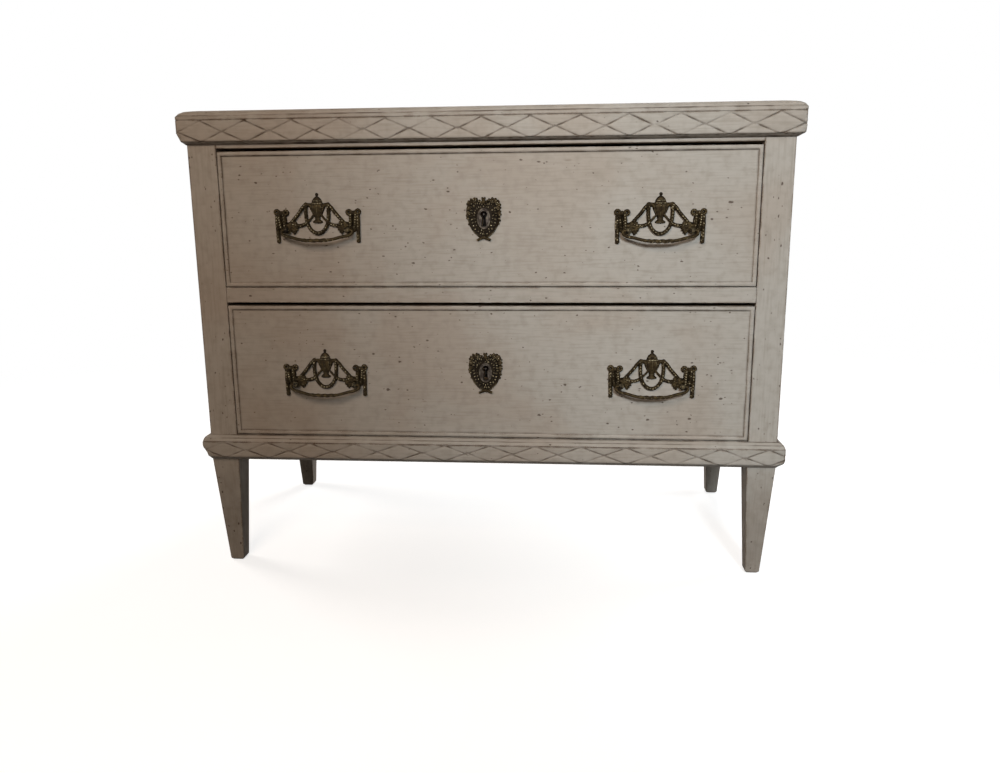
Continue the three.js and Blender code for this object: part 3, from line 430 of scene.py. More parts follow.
class Moulding:
    """A profile of (out, height) points round the front and sides; the first face_points of it are carved."""

    def __init__(self, profile, corner, wear, wear_height, middle, half_height):
        self.profile, self.face = profile, profile[:face_points]
        self.downs = lengths_along(self.face)
        self.reach = max(out for out, _ in profile)
        self.corner, self.wear, self.wear_height = corner, wear, wear_height
        self.middle, self.half_height = middle, half_height
        self.foot = min(height for _, height in profile)
        self.straight = half_width + self.reach - corner
        self.turn_length = corner * pi / 2
        self.mitre = self.straight + self.turn_length / 2
        self.end = self.straight + self.turn_length + depth - (corner - self.reach)

    # A point of the moulding, from how far along, how far out and how high. The foot of its corners is worn
    # back, the left one more.
    def place(self, along, out, height, shift):
        side, along = (-1 if along < 0 else 1), abs(along)
        spread = side_wear_spread if along > self.mitre else front_wear_spread
        near_corner = max(0.0, 1 - abs(along - self.mitre) / spread) ** 2
        tall = self.wear_height * (1 if side < 0 else right_wear_height)
        low = min(1.0, max(0.0, 1 - (height - self.foot) / tall))
        worn = self.wear * near_corner * low * (1 if side < 0 else right_wear_share)
        out -= max(0.0, out - joint_gap) * worn
        radius = self.corner * max(0.0, (out - joint_gap) / (self.reach - joint_gap))
        centre_x, centre_y = half_width + out - radius, radius - out
        angle = min(max((along - self.straight) / self.corner, 0.0), pi / 2)
        x = centre_x + radius * sin(angle)
        y = centre_y - radius * cos(angle)
        if along < self.straight:
            x = centre_x * along / self.straight
        past = along - self.straight - self.turn_length
        if past > 0:
            y = centre_y + past * (depth - centre_y) / (depth - (self.corner - self.reach))
        return Vector((side * x, front_face + min(y + shift, depth), height))

    # A point of the carved face, from how far along and how far down, sunk by the carving
    def on_face(self, along, down, sink, shift):
        for index in range(len(self.face) - 1):
            if down <= self.downs[index + 1] + 1e-9:
                break
        near, next_one = Vector(self.face[index]), Vector(self.face[index + 1])
        share = (down - self.downs[index]) / (self.downs[index + 1] - self.downs[index])
        edge = (next_one - near).normalized()
        spot = near.lerp(next_one, share) + Vector((edge.y, -edge.x)) * sink
        return self.place(along, spot.x, spot.y, shift)

    def down_of(self, height):
        if height >= self.face[0][1]:
            return 0.0
        for index in range(len(self.face) - 1):
            top, bottom = self.face[index][1], self.face[index + 1][1]
            if bottom <= height <= top and top > bottom:
                share = (top - height) / (top - bottom)
                return self.downs[index] + share * (self.downs[index + 1] - self.downs[index])
        return self.downs[-1]

    # Centre lines of the V cuts between two distances along, a little uneven, as a hand leaves them
    def cuts(self, low, high, count):
        step = (high - low) / count
        top = self.down_of(self.middle + self.half_height)
        bottom = self.down_of(self.middle - self.half_height)
        level = (top + bottom) / 2
        lines = []
        tips = [strayed(low + step * i, tip_wander) for i in range(count + 1)]
        for i in range(count):
            left = tips[i] + carver.uniform(0, tip_gap)
            right = tips[i + 1] - carver.uniform(0, tip_gap)
            peak = strayed((left + right) / 2, 2 * cut_wander)
            foot = strayed((left + right) / 2, 2 * cut_wander)
            mid_left, mid_right = strayed(level, cut_wander), strayed(level, cut_wander)
            over = top + carver.uniform(-0.2, 0.8) * MM
            under = bottom + carver.uniform(-0.8, 0.3) * MM
            corners = [(left, mid_left), (peak, over), (right, mid_right), (foot, under)]
            for start, end in zip(corners, corners[1:] + corners[:1]):
                past = carver.uniform(0.0, 0.08)
                start, end = Vector(start), Vector(end)
                lines.append((start, end + (end - start) * past))
        return lines


# Turns a worked mesh into a shown piece, shaded smooth but for edges sharper than the angle
def shown(name, mesh, crease):
    data = bpy.data.meshes.new(name)
    bmesh.ops.recalc_face_normals(mesh, faces=mesh.faces)
    for edge in mesh.edges:
        edge.smooth = len(edge.link_faces) == 2 and edge.calc_face_angle(0) < radians(crease)
    for face in mesh.faces:
        face.smooth = True
    mesh.to_mesh(data)
    mesh.free()
    return set_out(name, data)


# One length of moulding: its face, cut along the lines, then its grooves, underside, back and ends
def carved_length(name, moulding, low, high, lines, shift):
    station, cut_station, row_gap, wobble = 6 * MM, 5 * MM, 1.5 * MM, 0.12 * MM
    end_margin, edge_margin = 0.2 * MM, 0.15 * MM
    stations = max(2, round((high - low) / station))
    alongs = [low + (high - low) * i / stations for i in range(stations + 1)]
    bottom = moulding.downs[-1]
    even_rows = [bottom * i / row_count for i in range(1, row_count)]
    rows = [row for row in even_rows if min(abs(row - down) for down in moulding.downs) > row_gap]
    rows = sorted(set(moulding.downs + rows))
    flat, edges = [], []
    for row in rows:
        first = len(flat)
        flat += [Vector((along, row)) for along in alongs]
        edges += [(first + i, first + i + 1) for i in range(len(alongs) - 1)]
    for start, end in lines:
        run = end - start
        side = Vector((-run.y, run.x)).normalized() * cut_width / 2
        parts = max(2, round(run.length / cut_station))
        for offset in (Vector((0, 0)), side, -side):
            previous = None
            for i in range(parts + 1):
                spot = start + run * i / parts + offset
                between = low + end_margin < spot.x < high - end_margin
                inside = between and edge_margin < spot.y < bottom - edge_margin
                if inside:
                    flat.append(spot)
                    if previous is not None:
                        edges.append((previous, len(flat) - 1))
                previous = len(flat) - 1 if inside else None
    spots, _, faces, *_ = delaunay_2d_cdt(flat, edges, [], 0, 1e-6)

    def sunk(spot):
        deepest = 0.0
        for start, end in lines:
            near, far = sorted((start.x, end.x))
            if not near - cut_width / 2 <= spot.x <= far + cut_width / 2:
                continue
            run = end - start
            share = min(max((spot - start).dot(run) / run.length_squared, 0.0), 1.0)
            gap = (spot - start - run * share).length
            strength = 0.75 + 0.9 * noise.noise(Vector((spot.x * 45, spot.y * 60, 3.0)))
            deepest = max(deepest, min(1.1, max(0.15, strength)) * max(0.0, 1 - gap / (cut_width / 2)))
        return deepest

    mesh = bmesh.new()
    grime_and_shade = mesh.verts.layers.float.new("grime_and_shade")
    face_verts = []
    for spot in spots:
        cut = sunk(spot)
        from_end = min(spot.x - low, high - spot.x)
        edge_fade = min(1.0, min(spot.y, bottom - spot.y) / (2 * MM), from_end / MM)
        ripple = wobble * noise.noise(Vector((spot.x * 60, spot.y * 160, 9.0))) * max(0.0, edge_fade)
        vert = mesh.verts.new(moulding.on_face(spot.x, spot.y, cut * cut_depth - ripple, shift))
        # The V cuts and the lower edge of the face are darkened: dirt and painted shade
        by_edge = (spot.y / bottom - lower_edge_shade_from) / lower_edge_shade_span
        vert[grime_and_shade] = max(cut_dirt_and_shade * cut, lower_edge_dirt_and_shade * by_edge)
        face_verts.append(vert)
    for face in faces:
        mesh.faces.new([face_verts[i] for i in face])
    rest = moulding.profile[len(moulding.face) - 1:] + moulding.profile[:1]
    columns = []
    for along in alongs:
        columns.append([mesh.verts.new(moulding.place(along, out, height, shift)) for out, height in rest])
    for near, next_one in zip(columns, columns[1:]):
        for i in range(len(rest) - 1):
            mesh.faces.new((near[i], next_one[i], next_one[i + 1], near[i + 1]))
    for along in (low, high):
        ring = [mesh.verts.new(moulding.on_face(along, row, 0.0, shift)) for row in rows]
        ring += [mesh.verts.new(moulding.place(along, out, height, shift)) for out, height in rest[1:-1]]
        mesh.faces.new(ring)
    bmesh.ops.remove_doubles(mesh, verts=mesh.verts, dist=0.01 * MM)
    return shown(name, mesh, 30)


# Part of an ellipse, as points from one angle to another
def rounding(centre, across_radius, up_radius, start, end, steps):
    angles = [radians(start + (end - start) * i / steps) for i in range(steps + 1)]
    return [(centre[0] + across_radius * cos(a), centre[1] + up_radius * sin(a)) for a in angles]


lip_bottom = 0.788 - joint_gap
top_profile = [(0.0132, lip_bottom), (0.0132, 0.7556)]
top_profile += rounding((0.0108, 0.7556), 0.0024, 0.0026, 0, -90, 4)[1:]
top_profile += [(0.0070, 0.7508), (0.0030, 0.7491), (joint_gap, 0.7485), (joint_gap, lip_bottom)]
base_profile = [(0.0119, 0.2365), (0.0135, 0.2349), (0.0135, 0.2112)]
base_profile += rounding((0.0100, 0.2112), 0.0035, 0.0042, 0, -72, 3)[1:]
base_profile += [(0.0058, 0.2040), (0.0022, 0.2015), (joint_gap, 0.2015), (joint_gap, 0.247), (0.003, 0.247)]
base_profile += [(0.0059, 0.2447), (0.0080, 0.2439), (0.0110, 0.2406), (0.0127, 0.2371)]
mouldings = {
    "top": Moulding(top_profile, corner=6 * MM, wear=0.6, wear_height=18 * MM,
                    middle=0.7696, half_height=0.0166),
    "base": Moulding(base_profile, corner=7 * MM, wear=0.95, wear_height=25 * MM,
                     middle=0.2206, half_height=0.0152),
}
front_lozenges, side_lozenges = 13, 6
last_lozenge_past = {"top": 0.0, "base": 12 * MM}
moulding_dirt_and_shade_grain = (60, 16)
# Heights darkened: the base moulding's joint and two grooves, and the top moulding's underside, by dirt and
# painted shade
dirty_and_shaded_levels = ((0.2470, 0.0011, 0.8), (0.2425, 0.0009, 0.65), (0.2358, 0.0010, 0.7), (0.7492, 0.0024, 0.9))


# Dirt along the moulding's joint, and dirt with painted shade in its fine grooves and on its underside
def moulding_dirt_and_shade(place):
    height = axes(place)[2]
    broken = ramped(stretched(place, "Z", moulding_dirt_and_shade_grain, 4.0), 0.36, 0.6, 0.25, 1.0)
    dirt_and_shade = 0.0
    for level_height, spread, most in dirty_and_shaded_levels:
        near_level = ramped(apart(height, level_height), spread, 0.5 * spread, 0.0, most)
        dirt_and_shade = sums("MAXIMUM", dirt_and_shade, near_level)
    return sums("MULTIPLY", dirt_and_shade, broken)


moulding_paint = painted("painted mouldings", "X", worn=0.7, pitted=0.6, line=moulding_dirt_and_shade)
side_moulding_paint = painted("painted side mouldings", "Y", worn=0.7, pitted=0.6, line=moulding_dirt_and_shade)
for kind, moulding in mouldings.items():
    mitre = moulding.mitre
    for where, sign in (("front", 0), ("left", -1), ("right", 1)):
        if sign:
            low, high = sorted((sign * mitre, sign * moulding.end))
            lines = moulding.cuts(mitre, moulding.end, side_lozenges)
        else:
            low, high = -mitre, mitre
            lines = moulding.cuts(-mitre, mitre + last_lozenge_past[kind], front_lozenges)
        if sign < 0:
            lines = [(Vector((-a.x, a.y)), Vector((-b.x, b.y))) for a, b in lines]
        made = carved_length(f"carved_{kind}_{where}", moulding, low, high, lines, 2 * joint_gap * abs(sign))
        made.data.materials.append(side_moulding_paint if sign else moulding_paint)
        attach(made, "case")
        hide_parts(f"{kind}_moulding_{where}")

# Drawer boxes: pine sides, dovetailed to the front and the back and left bare. Each bottom is a thin board
# let into grooves.
for drawer in ("lower_drawer", "upper_drawer"):
    for side in ("left_side", "right_side"):
        finished(f"{drawer}_{side}", pine_deep, 0.3 * MM)
    for board in ("back", "bottom"):
        finished(f"{drawer}_{board}", pine_across, 0.3 * MM)

# Drawer fronts, painted like the case, each edged with half-round cock beads mitred at the corners.
# Dirt and painted shade lie in a line inside the beads, with a painted shadow under the top one.
bead_width, bead_square, bead_rise = 7 * MM, 1.1 * MM, 1.9 * MM
bead_station, bead_wear = 14 * MM, 0.25 * MM
# Reach of the dirt and painted shade inside the beads, and of the painted shadow under the top bead
weak_dirt_and_shade, top_bead_shadow = (-3.4 * MM, -0.2 * MM), (-2.8 * MM, -0.4 * MM)
keyhole_shade_width, keyhole_shade_height = 8 * MM, 15 * MM
paint_depth = 11 * MM


# Joins each ring of points to the next with faces, and closes both ends where they are capped
def skin(mesh, rings, capped=True):
    for near, next_one in zip(rings, rings[1:]):
        for k in range(len(near)):
            j = (k + 1) % len(near)
            mesh.faces.new((near[k], near[j], next_one[j], next_one[k]))
    if capped:
        mesh.faces.new(rings[0][::-1])
        mesh.faces.new(rings[-1])


def cock_bead(name, low, high, face):
    mesh = bmesh.new()
    grime_and_shade = mesh.verts.layers.float.new("grime_and_shade")
    # The third value of each section point darkens the bead's feet, where it meets the front: dirt and
    # painted shade
    section = [(0.0, 0.0, 1.0), (0.0, bead_square * 0.6, 0.4)]
    for i in range(9):
        a = pi * i / 8
        section.append((bead_width / 2 * (1 - cos(a)), bead_square + bead_rise * sin(a), 0.0))
    section += [(bead_width, bead_square * 0.5, 0.8), (bead_width, 0.0, 1.0)]
    corners = [(low.x, low.z, 1, 1), (high.x, low.z, -1, 1), (high.x, high.z, -1, -1), (low.x, high.z, 1, -1)]
    rings = []
    for index, (x, z, dx, dz) in enumerate(corners):
        next_x, next_z, next_dx, next_dz = corners[(index + 1) % 4]
        parts = round((Vector((next_x, next_z)) - Vector((x, z))).length / bead_station)
        for part in range(parts):
            share = part / parts
            ring = []
            for inset, rise, dirt_and_shade in section:
                start = Vector((x + dx * inset, z + dz * inset))
                end = Vector((next_x + next_dx * inset, next_z + next_dz * inset))
                spot = start.lerp(end, share)
                wear = bead_wear * noise.noise(Vector((spot.x * 45, spot.y * 45, 5.0)))
                rise = rise + wear * (rise > bead_square)
                vert = mesh.verts.new((spot.x, face - rise, spot.y))
                vert[grime_and_shade] = dirt_and_shade
                ring.append(vert)
            rings.append(ring)
    skin(mesh, rings + rings[:1], False)
    return shown(name, mesh, 40)


# The line of dirt and painted shade: a narrow band just inside the beads, a strong painted shadow only under
# the top one, and painted shade in the keyhole
def bead_dirt_and_shade_line(low, high):
    middle, inner = (low + high) / 2, (high - low) / 2 - Vector((bead_width,) * 3)

    def line(place):
        centred = add("VectorMath", {0: place, 1: middle}, operation="SUBTRACT").outputs[0]
        parts = axes(centred)
        beside = sums("SUBTRACT", sums("ABSOLUTE", parts[0]), inner.x)
        above = sums("SUBTRACT", sums("ABSOLUTE", parts[2]), inner.z)
        inside = sums("MAXIMUM", beside, above)
        patches = ramped(clouded(place, 22.0, 4.0), 0.35, 0.62, 0.3, 1.0)
        weak = sums("MULTIPLY", ramped(inside, *weak_dirt_and_shade, 0.0, 0.5), patches)
        under_top = sums("SUBTRACT", parts[2], inner.z)
        # A strong painted shadow under the top bead
        strong = ramped(under_top, *top_bead_shadow, 0.0, 0.8)
        # The keyhole is painted dark: painted shade in the hole
        squeezed = scaled(centred, (1 / keyhole_shade_width, 0, 1 / keyhole_shade_height))
        from_keyhole = add("VectorMath", {0: squeezed}, operation="LENGTH").outputs["Value"]
        painted_keyhole_shade = ramped(from_keyhole, 1.05, 0.95, 0.0, 3.0)
        return sums("MAXIMUM", painted_keyhole_shade, sums("MAXIMUM", weak, strong))

    return line


# Behind its front edge a drawer front is left as bare pine
def bare_inside(face):
    def cover(place):
        covered = ramped(axes(place)[1], face + paint_depth, face + paint_depth + MM)
        return covered, pine_colour(place, "X")[0]

    return cover


for drawer in ("lower", "upper"):
    low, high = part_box(f"{drawer}_drawer_front")
    line, cover = bead_dirt_and_shade_line(low, high), bare_inside(low.y)
    front_paint = painted(f"painted {drawer} drawer front", "X", worn=0.8, line=line, cover=cover)
    finished(f"{drawer}_drawer_front", front_paint, 0.6 * MM)
    bead = cock_bead(f"{drawer}_bead", low, high, low.y - joint_gap)
    bead.data.materials.append(rail_paint)
    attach(bead, f"{drawer}_drawer")
    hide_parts(f"{drawer}_cock_bead")

# Locks let into the inside of the fronts: iron cases on plates, spotted with rust. In each a bolt rises into
# the rail above when the key turns.
iron_dark = tone(58, 53, 49)
iron_rust = tone(92, 62, 44)
iron, tree, shader, place = new_finish("lock iron")
rust = clouded(place, 60.0, 4.0)
rust_colour = blended(ramped(rust, 0.48, 0.7), iron_dark, iron_rust)
coated(shader, rust_colour, ramped(rust, 0.45, 0.7, 0.42, 0.85), rust, 0.4, 0.4 * MM)
tree.links.new(ramped(rust, 0.45, 0.7, 0.9, 0.1), shader.inputs["Metallic"])
for drawer in ("lower", "upper"):
    finished(f"{drawer}_lock", iron, 0.3 * MM)
    finished(f"{drawer}_lock_bolt", iron, 0.3 * MM)

# Handles, cast in brass and left to darken: an urn hung with husk garlands between two ribbon bows, bolted
# on through the bosses below the bows. The bail hangs from the bolts.
brass_dark = tone(40, 31, 18)
brass_olive = tone(58, 47, 28)
brass_worn_highlight = tone(200, 185, 152)
brass_hollow = tone(17, 12, 8)
brass_purple = tone(50, 43, 38)
brass_grey = tone(78, 71, 66)
turned_sides, leaf_count, path_steps = 32, 5, 200
boss_x, boss_z = 52.0, -22.5
boss_profile = ((6.2, 0.0), (6.4, -1.8), (5.6, -3.0), (5.0, -3.4), (4.4, -4.4), (2.0, -4.8), (0.3, -4.8))
axis_out, collar = 10.0, 3.2
hollow_top, hollow_range, hollow_most = 3.2, 2.0, 0.8


# Darkened metal, rubbed bright where it stands out, with painted highlights there too, and dark in its
# hollows with patina, dirt and painted shade
def patinated(name, low_tone, high_tone, shine):
    finish, tree, shader, place = new_finish(name)
    raised = add("NewGeometry", tree=tree).outputs["Pointiness"]
    spots = clouded(place, 160.0, 3.0)
    rubbed_and_highlight = sums("MULTIPLY", ramped(raised, 0.515, 0.57), ramped(spots, 0.4, 0.58))
    # Hollows darkened: patina and painted shade
    hollow_patina_and_shade = ramped(raised, 0.495, 0.44)
    colour = blended(ramped(spots, 0.4, 0.65), low_tone, high_tone)
    colour = blended(hollow_patina_and_shade, colour, brass_hollow)
    # Painted highlights, with real rubbing, where the metal stands out
    colour = blended(sums("MULTIPLY", rubbed_and_highlight, shine), colour, brass_worn_highlight)
    # The casting's marks darken it further: dirt and painted shade
    grime_and_shade = add("Attribute", tree=tree, attribute_name="grime_and_shade").outputs["Fac"]
    colour = blended(grime_and_shade, colour, brass_hollow)
    shader.inputs["Metallic"].default_value = 0.75
    shader.inputs["Specular IOR Level"].default_value = 0.2
    coated(shader, colour, ramped(rubbed_and_highlight, 0.0, 1.0, 0.55, 0.3), spots, 0.3, 0.3 * MM)
    return finish


brass = patinated("darkened brass", brass_dark, brass_olive, 0.8)
worn_brass = patinated("worn brass", brass_purple, brass_grey, 0.08)
bolt_brass = patinated("bolt brass", brass_hollow, brass_olive, 0.2)


# Lumps of the casting pattern, in mm round the casting's own middle
def lump(mesh, place, radii, turn=0.0, tip=0.0):
    spin = Matrix.Rotation(turn, 4, "Y") @ Matrix.Rotation(tip, 4, "X")
    stretch = Matrix.Diagonal((*radii, 1))
    matrix = Matrix.Translation(place) @ spin @ stretch
    bmesh.ops.create_icosphere(mesh, subdivisions=2, radius=1, matrix=matrix)


# The directions of one whole turn in equal steps, each as a cosine and a sine
def whole_turn(count):
    angles = [2 * pi * k / count for k in range(count)]
    return [(cos(angle), sin(angle)) for angle in angles]


# A curve through points, in equal shares of each bay between them
def smooth_path(points):
    points = [Vector(p) for p in points]
    padded = [2 * points[0] - points[1]] + points + [2 * points[-1] - points[-2]]
    bays = len(points) - 1
    path = []
    for i in range(path_steps + 1):
        at = min(i / path_steps * bays, bays - 1e-6)
        bay, t = int(at), at - int(at)
        a, b, c, d = padded[bay:bay + 4]
        bend, twist = 2 * a - 5 * b + 4 * c - d, 3 * b - a - 3 * c + d
        path.append(0.5 * (2 * b + (c - a) * t + bend * t ** 2 + twist * t ** 3))
    return path


def even_path(points, step):
    fine = smooth_path(points)
    run = lengths_along(fine)
    count = max(1, round(run[-1] / step))
    spots, index = [], 0
    for i in range(count + 1):
        want = run[-1] * i / count
        while index < len(run) - 2 and run[index + 1] < want:
            index += 1
        share = (want - run[index]) / max(run[index + 1] - run[index], 1e-9)
        spots.append(fine[index].lerp(fine[index + 1], share))
    return spots


# A round bar along a curve; lobes that twist along it make it a rope
def cord_tube(mesh, points, radius, lobes=0, twist=0.0, bulge=0.0, step=1.2, sides=12):
    spots = even_path(points, step)
    rings = []
    run = 0.0
    for i, spot in enumerate(spots):
        tangent = (spots[min(i + 1, len(spots) - 1)] - spots[max(i - 1, 0)]).normalized()
        sideways = tangent.cross(Vector((0, 1, 0))).normalized()
        outward = sideways.cross(tangent)
        ring = []
        for k in range(sides):
            angle = 2 * pi * k / sides
            size = radius * (1 + bulge * cos(lobes * angle + twist * run))
            ring.append(mesh.verts.new(spot + size * (cos(angle) * sideways + sin(angle) * outward)))
        rings.append(ring)
        run += step
    skin(mesh, rings)


# A garland: a smooth rope with a row of beads along its front
def husks(mesh, points, size, step):
    cord_tube(mesh, points, size * 0.9)
    spots = even_path(points, step * 0.8)
    for near, next_one in zip(spots, spots[1:]):
        run = next_one - near
        middle = (near + next_one) / 2 + Vector((0, -0.8 * size, 0))
        lump(mesh, middle, (step * 0.28, size * 0.55, size * 0.46), atan2(-run.z, run.x))


# A vase turned about an upright axis and flattened, its body fluted between two heights
def lathe(mesh, profile, flatten, flutes, flute_depth, low, high):
    rings = []
    for radius, up in profile:
        ring = []
        for k in range(turned_sides):
            angle = 2 * pi * k / turned_sides
            size = radius * (1 + flute_depth * cos(flutes * angle)) if low < up < high else radius
            ring.append(mesh.verts.new((size * cos(angle), flatten * size * sin(angle), up)))
        rings.append(ring)
    skin(mesh, rings)


# Melts the lumps of a pattern into one skin, as one pour of metal. Where it has a flat back its hollows are
# darkened, the deeper the more: dirt and painted shade.
def cast(name, mesh, voxel, back, settle):
    bmesh.ops.recalc_face_normals(mesh, faces=mesh.faces)
    data = bpy.data.meshes.new(name)
    mesh.to_mesh(data)
    mesh.free()
    piece = set_out(name, data)
    melt = piece.modifiers.new("melt", "REMESH")
    melt.mode, melt.voxel_size, melt.use_smooth_shade = "VOXEL", voxel, True
    soften = piece.modifiers.new("soften", "SMOOTH")
    soften.factor, soften.iterations = 0.5, settle
    melted = piece.evaluated_get(bpy.context.evaluated_depsgraph_get())
    poured = bpy.data.meshes.new_from_object(melted)
    bpy.data.objects.remove(piece)
    worked = bmesh.new()
    worked.from_mesh(poured)
    if back is not None:
        whole = worked.verts[:] + worked.edges[:] + worked.faces[:]
        plane = {"plane_co": (0, back, 0), "plane_no": (0, 1, 0)}
        cut = bmesh.ops.bisect_plane(worked, geom=whole, clear_outer=True, **plane)
        rim = [e for e in cut["geom_cut"] if isinstance(e, bmesh.types.BMEdge)]
        bmesh.ops.triangle_fill(worked, edges=rim, use_beauty=True)
        # The deeper a point lies, the darker: dirt and painted shade in the hollows
        grime_and_shade = worked.verts.layers.float.new("grime_and_shade")
        for vert in worked.verts:
            vert[grime_and_shade] = hollow_most * min(1.0, max(0.0, (hollow_top + vert.co.y) / hollow_range))
    worked.transform(Matrix.Scale(MM, 4))
    worked.to_mesh(poured)
    worked.free()
    for polygon in poured.polygons:
        polygon.use_smooth = True
    poured.materials.append(brass)
    return poured


def on_side(side, points):
    return [(side * x, y, z) for x, y, z in points]


# A ring of lumps, for a ribbon's bow or a curled leaf
def curl(mesh, x, z, radius, wire, count):
    for k, (right, up) in enumerate(whole_turn(count)):
        lump(mesh, (x + radius * right, -2.4 - 0.3 * (k % 2), z + radius * up), (wire, wire * 1.15, wire))


# Leaves fanned out from a stem, each an edge-on lump
def leaves(mesh, centre, reach, size, start, sweep):
    for k in range(leaf_count):
        angle = radians(start + sweep * k / (leaf_count - 1))
        away = Vector((cos(angle), 0, sin(angle)))
        lump(mesh, Vector(centre) + away * reach, (size * 1.5, size * 0.9, size * 0.72), -angle, 0.3)


# A boss turned about an axis that points out of the drawer front
def boss(mesh, x, z):
    rings = []
    for radius, out in boss_profile:
        turned = whole_turn(turned_sides)
        rings.append([mesh.verts.new((x + radius * right, out, z + radius * up)) for right, up in turned])
    skin(mesh, rings)


def handle_pattern():
    mesh = bmesh.new()
    urn = [(1.0, -10.4), (8.4, -10.2), (8.8, -9.2), (8.6, -7.8), (7.2, -6.6), (5.4, -5.4), (4.6, -3.8),
           (5.8, -2.8), (4.9, -2.0), (5.6, -0.6), (7.0, 1.6), (8.9, 5.0), (10.6, 8.8), (12.0, 12.2),
           (12.6, 15.4), (12.4, 17.6), (11.6, 19.6), (9.8, 20.9), (10.2, 22.2), (9.6, 23.6), (8.6, 24.8),
           (9.0, 25.8), (8.0, 27.6), (6.8, 29.6), (5.0, 31.4), (3.4, 32.8), (1.8, 34.0), (2.6, 35.0),
           (3.1, 36.4), (2.6, 38.0), (1.2, 39.2), (0.3, 39.5)]
    garlands = ((3.4, 6.4, (19.0, -2.8, 20.5), (25.0, -3.2, 14.8), (31.5, -3.2, 6.0), (44.5, -2.8, -8.8)),
                (3.6, 6.2, (18.8, -2.8, 18.0), (19.5, -3.0, 12.0), (19.5, -3.0, 4.0), (18.8, -3.0, -4.0),
                 (17.2, -3.0, -11.0), (14.4, -3.0, -17.5), (10.0, -3.0, -23.0), (4.8, -3.0, -26.4),
                 (0, -3.0, -27.4)),
                (3.2, 6.2, (17.6, -2.6, -9.8), (25.5, -3.0, -13.4), (35.0, -3.0, -14.2), (44.0, -2.8, -11.6)),
                (3.9, 5.6, (58.2, -2.8, 5.0), (57.2, -3.2, -3.0), (56.6, -3.2, -12.0), (56.4, -3.0, -21.0)),
                (3.6, 5.4, (66.0, -2.8, 5.0), (65.6, -3.2, -3.0), (64.4, -3.2, -12.0), (63.0, -2.8, -19.0)),
                (3.9, 6.4, (69.4, -2.8, 2.0), (69.8, -3.0, -10.0), (69.4, -3.0, -24.0), (69.0, -2.8, -39.5)))
    stalks = ((2.8, (9.6, -2.0, 15.0), (12.6, -2.2, 19.0), (17.0, -2.4, 20.6)),
              (1.9, (4.6, -2.0, 5.6), (9.4, -2.4, -0.4), (16.2, -2.4, -8.2)))
    rings = ((19.0, 19.6, 2.0, 2.4, 8), (54.2, 7.0, 3.4, 2.5, 12), (69.6, 7.8, 3.4, 2.5, 12),
             (boss_x, boss_z, 5.6, 1.3, 12))
    knobs = ((19.0, -4.2, 19.4, 2.6, 2.4, 2.6), (13.0, -1.6, 19.4, 5.0, 2.2, 3.6),
             (62.0, -3.4, 6.0, 4.6, 3.6, 4.2), (62.0, -5.4, 6.6, 2.0, 2.4, 2.0),
             (61.5, -1.0, -6.0, 9.0, 2.2, 11.0), (47.5, -1.0, -14.5, 10.5, 2.2, 6.5),
             (61.0, -1.0, -17.5, 7.5, 2.2, 9.0), (69.0, -2.6, -40.6, 3.9, 2.9, 3.2))
    stems = ((46.5, -2.6, -11.5, 5.0, 3.1), (42.5, -2.8, -16.5, 5.8, 3.2),
             (44.0, -2.4, -21.5, 4.6, 3.0), (51.0, -3.6, -15.0, 4.4, 2.9))
    lathe(mesh, urn, flatten=0.5, flutes=12, flute_depth=0.11, low=1.0, high=18.0)
    for k in range(-4, 5):
        lump(mesh, (k * 2.4, -5.6 + 0.26 * k * k, 21.8), (1.3, 1.5, 1.5))
        lump(mesh, (k * 1.9, -4.8 + 0.2 * k * k, 26.0), (1.1, 1.3, 1.2))
    for side in (1, -1):
        for size, step, *points in garlands:
            husks(mesh, on_side(side, points), size, step)
        for radius, *points in stalks:
            cord_tube(mesh, on_side(side, points), radius)
        for x, *ring in rings:
            curl(mesh, side * x, *ring)
        for x, y, z, *radii in knobs:
            lump(mesh, (side * x, y, z), radii)
        boss(mesh, side * boss_x, boss_z)
        fan = 175 if side > 0 else 5
        for x, y, z, reach, size in stems:
            leaves(mesh, (side * x, y, z), reach, size, fan - side * 50, side * 120)
            lump(mesh, (side * x, y, z), (size * 1.5, size, size * 1.3))
    return mesh


def bail_pattern():
    mesh = bmesh.new()
    grip = [(58.2, 0.0, 0.0), (60.6, -0.4, -1.5), (60.2, -1.6, -4.4), (57.4, -3.4, -7.3), (52.4, -5.4, -9.3),
            (45.5, -7.3, -10.5), (39.0, -8.7, -12.0), (30.0, -10.3, -14.3), (20.0, -11.2, -15.9)]
    whole = [(47.5, 0, 0)] + grip + [(0, -11.5, -16.5)] + on_side(-1, grip)[::-1] + [(-47.5, 0, 0)]
    cord_tube(mesh, whole, 2.75)
    middle = [(20.0, -11.2, -15.9), (10.0, -11.45, -16.4), (0, -11.5, -16.5)]
    rope = middle + on_side(-1, middle[:-1])[::-1]
    cord_tube(mesh, rope, 3.0, lobes=3, twist=0.55, bulge=0.17, step=0.7, sides=18)
    for side in (1, -1):
        for x, y, z in ((20.8, -11.2, -15.8), (60.5, -0.5, -1.8)):
            lump(mesh, (side * x, y, z), (collar * 0.6, collar, collar), 0.2 * side)
    return mesh


def placed(name, data, place, body, node):
    mesh = data.copy()
    mesh.transform(Matrix.Translation(place))
    piece = set_out(name, mesh)
    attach(piece, body)
    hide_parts(node)


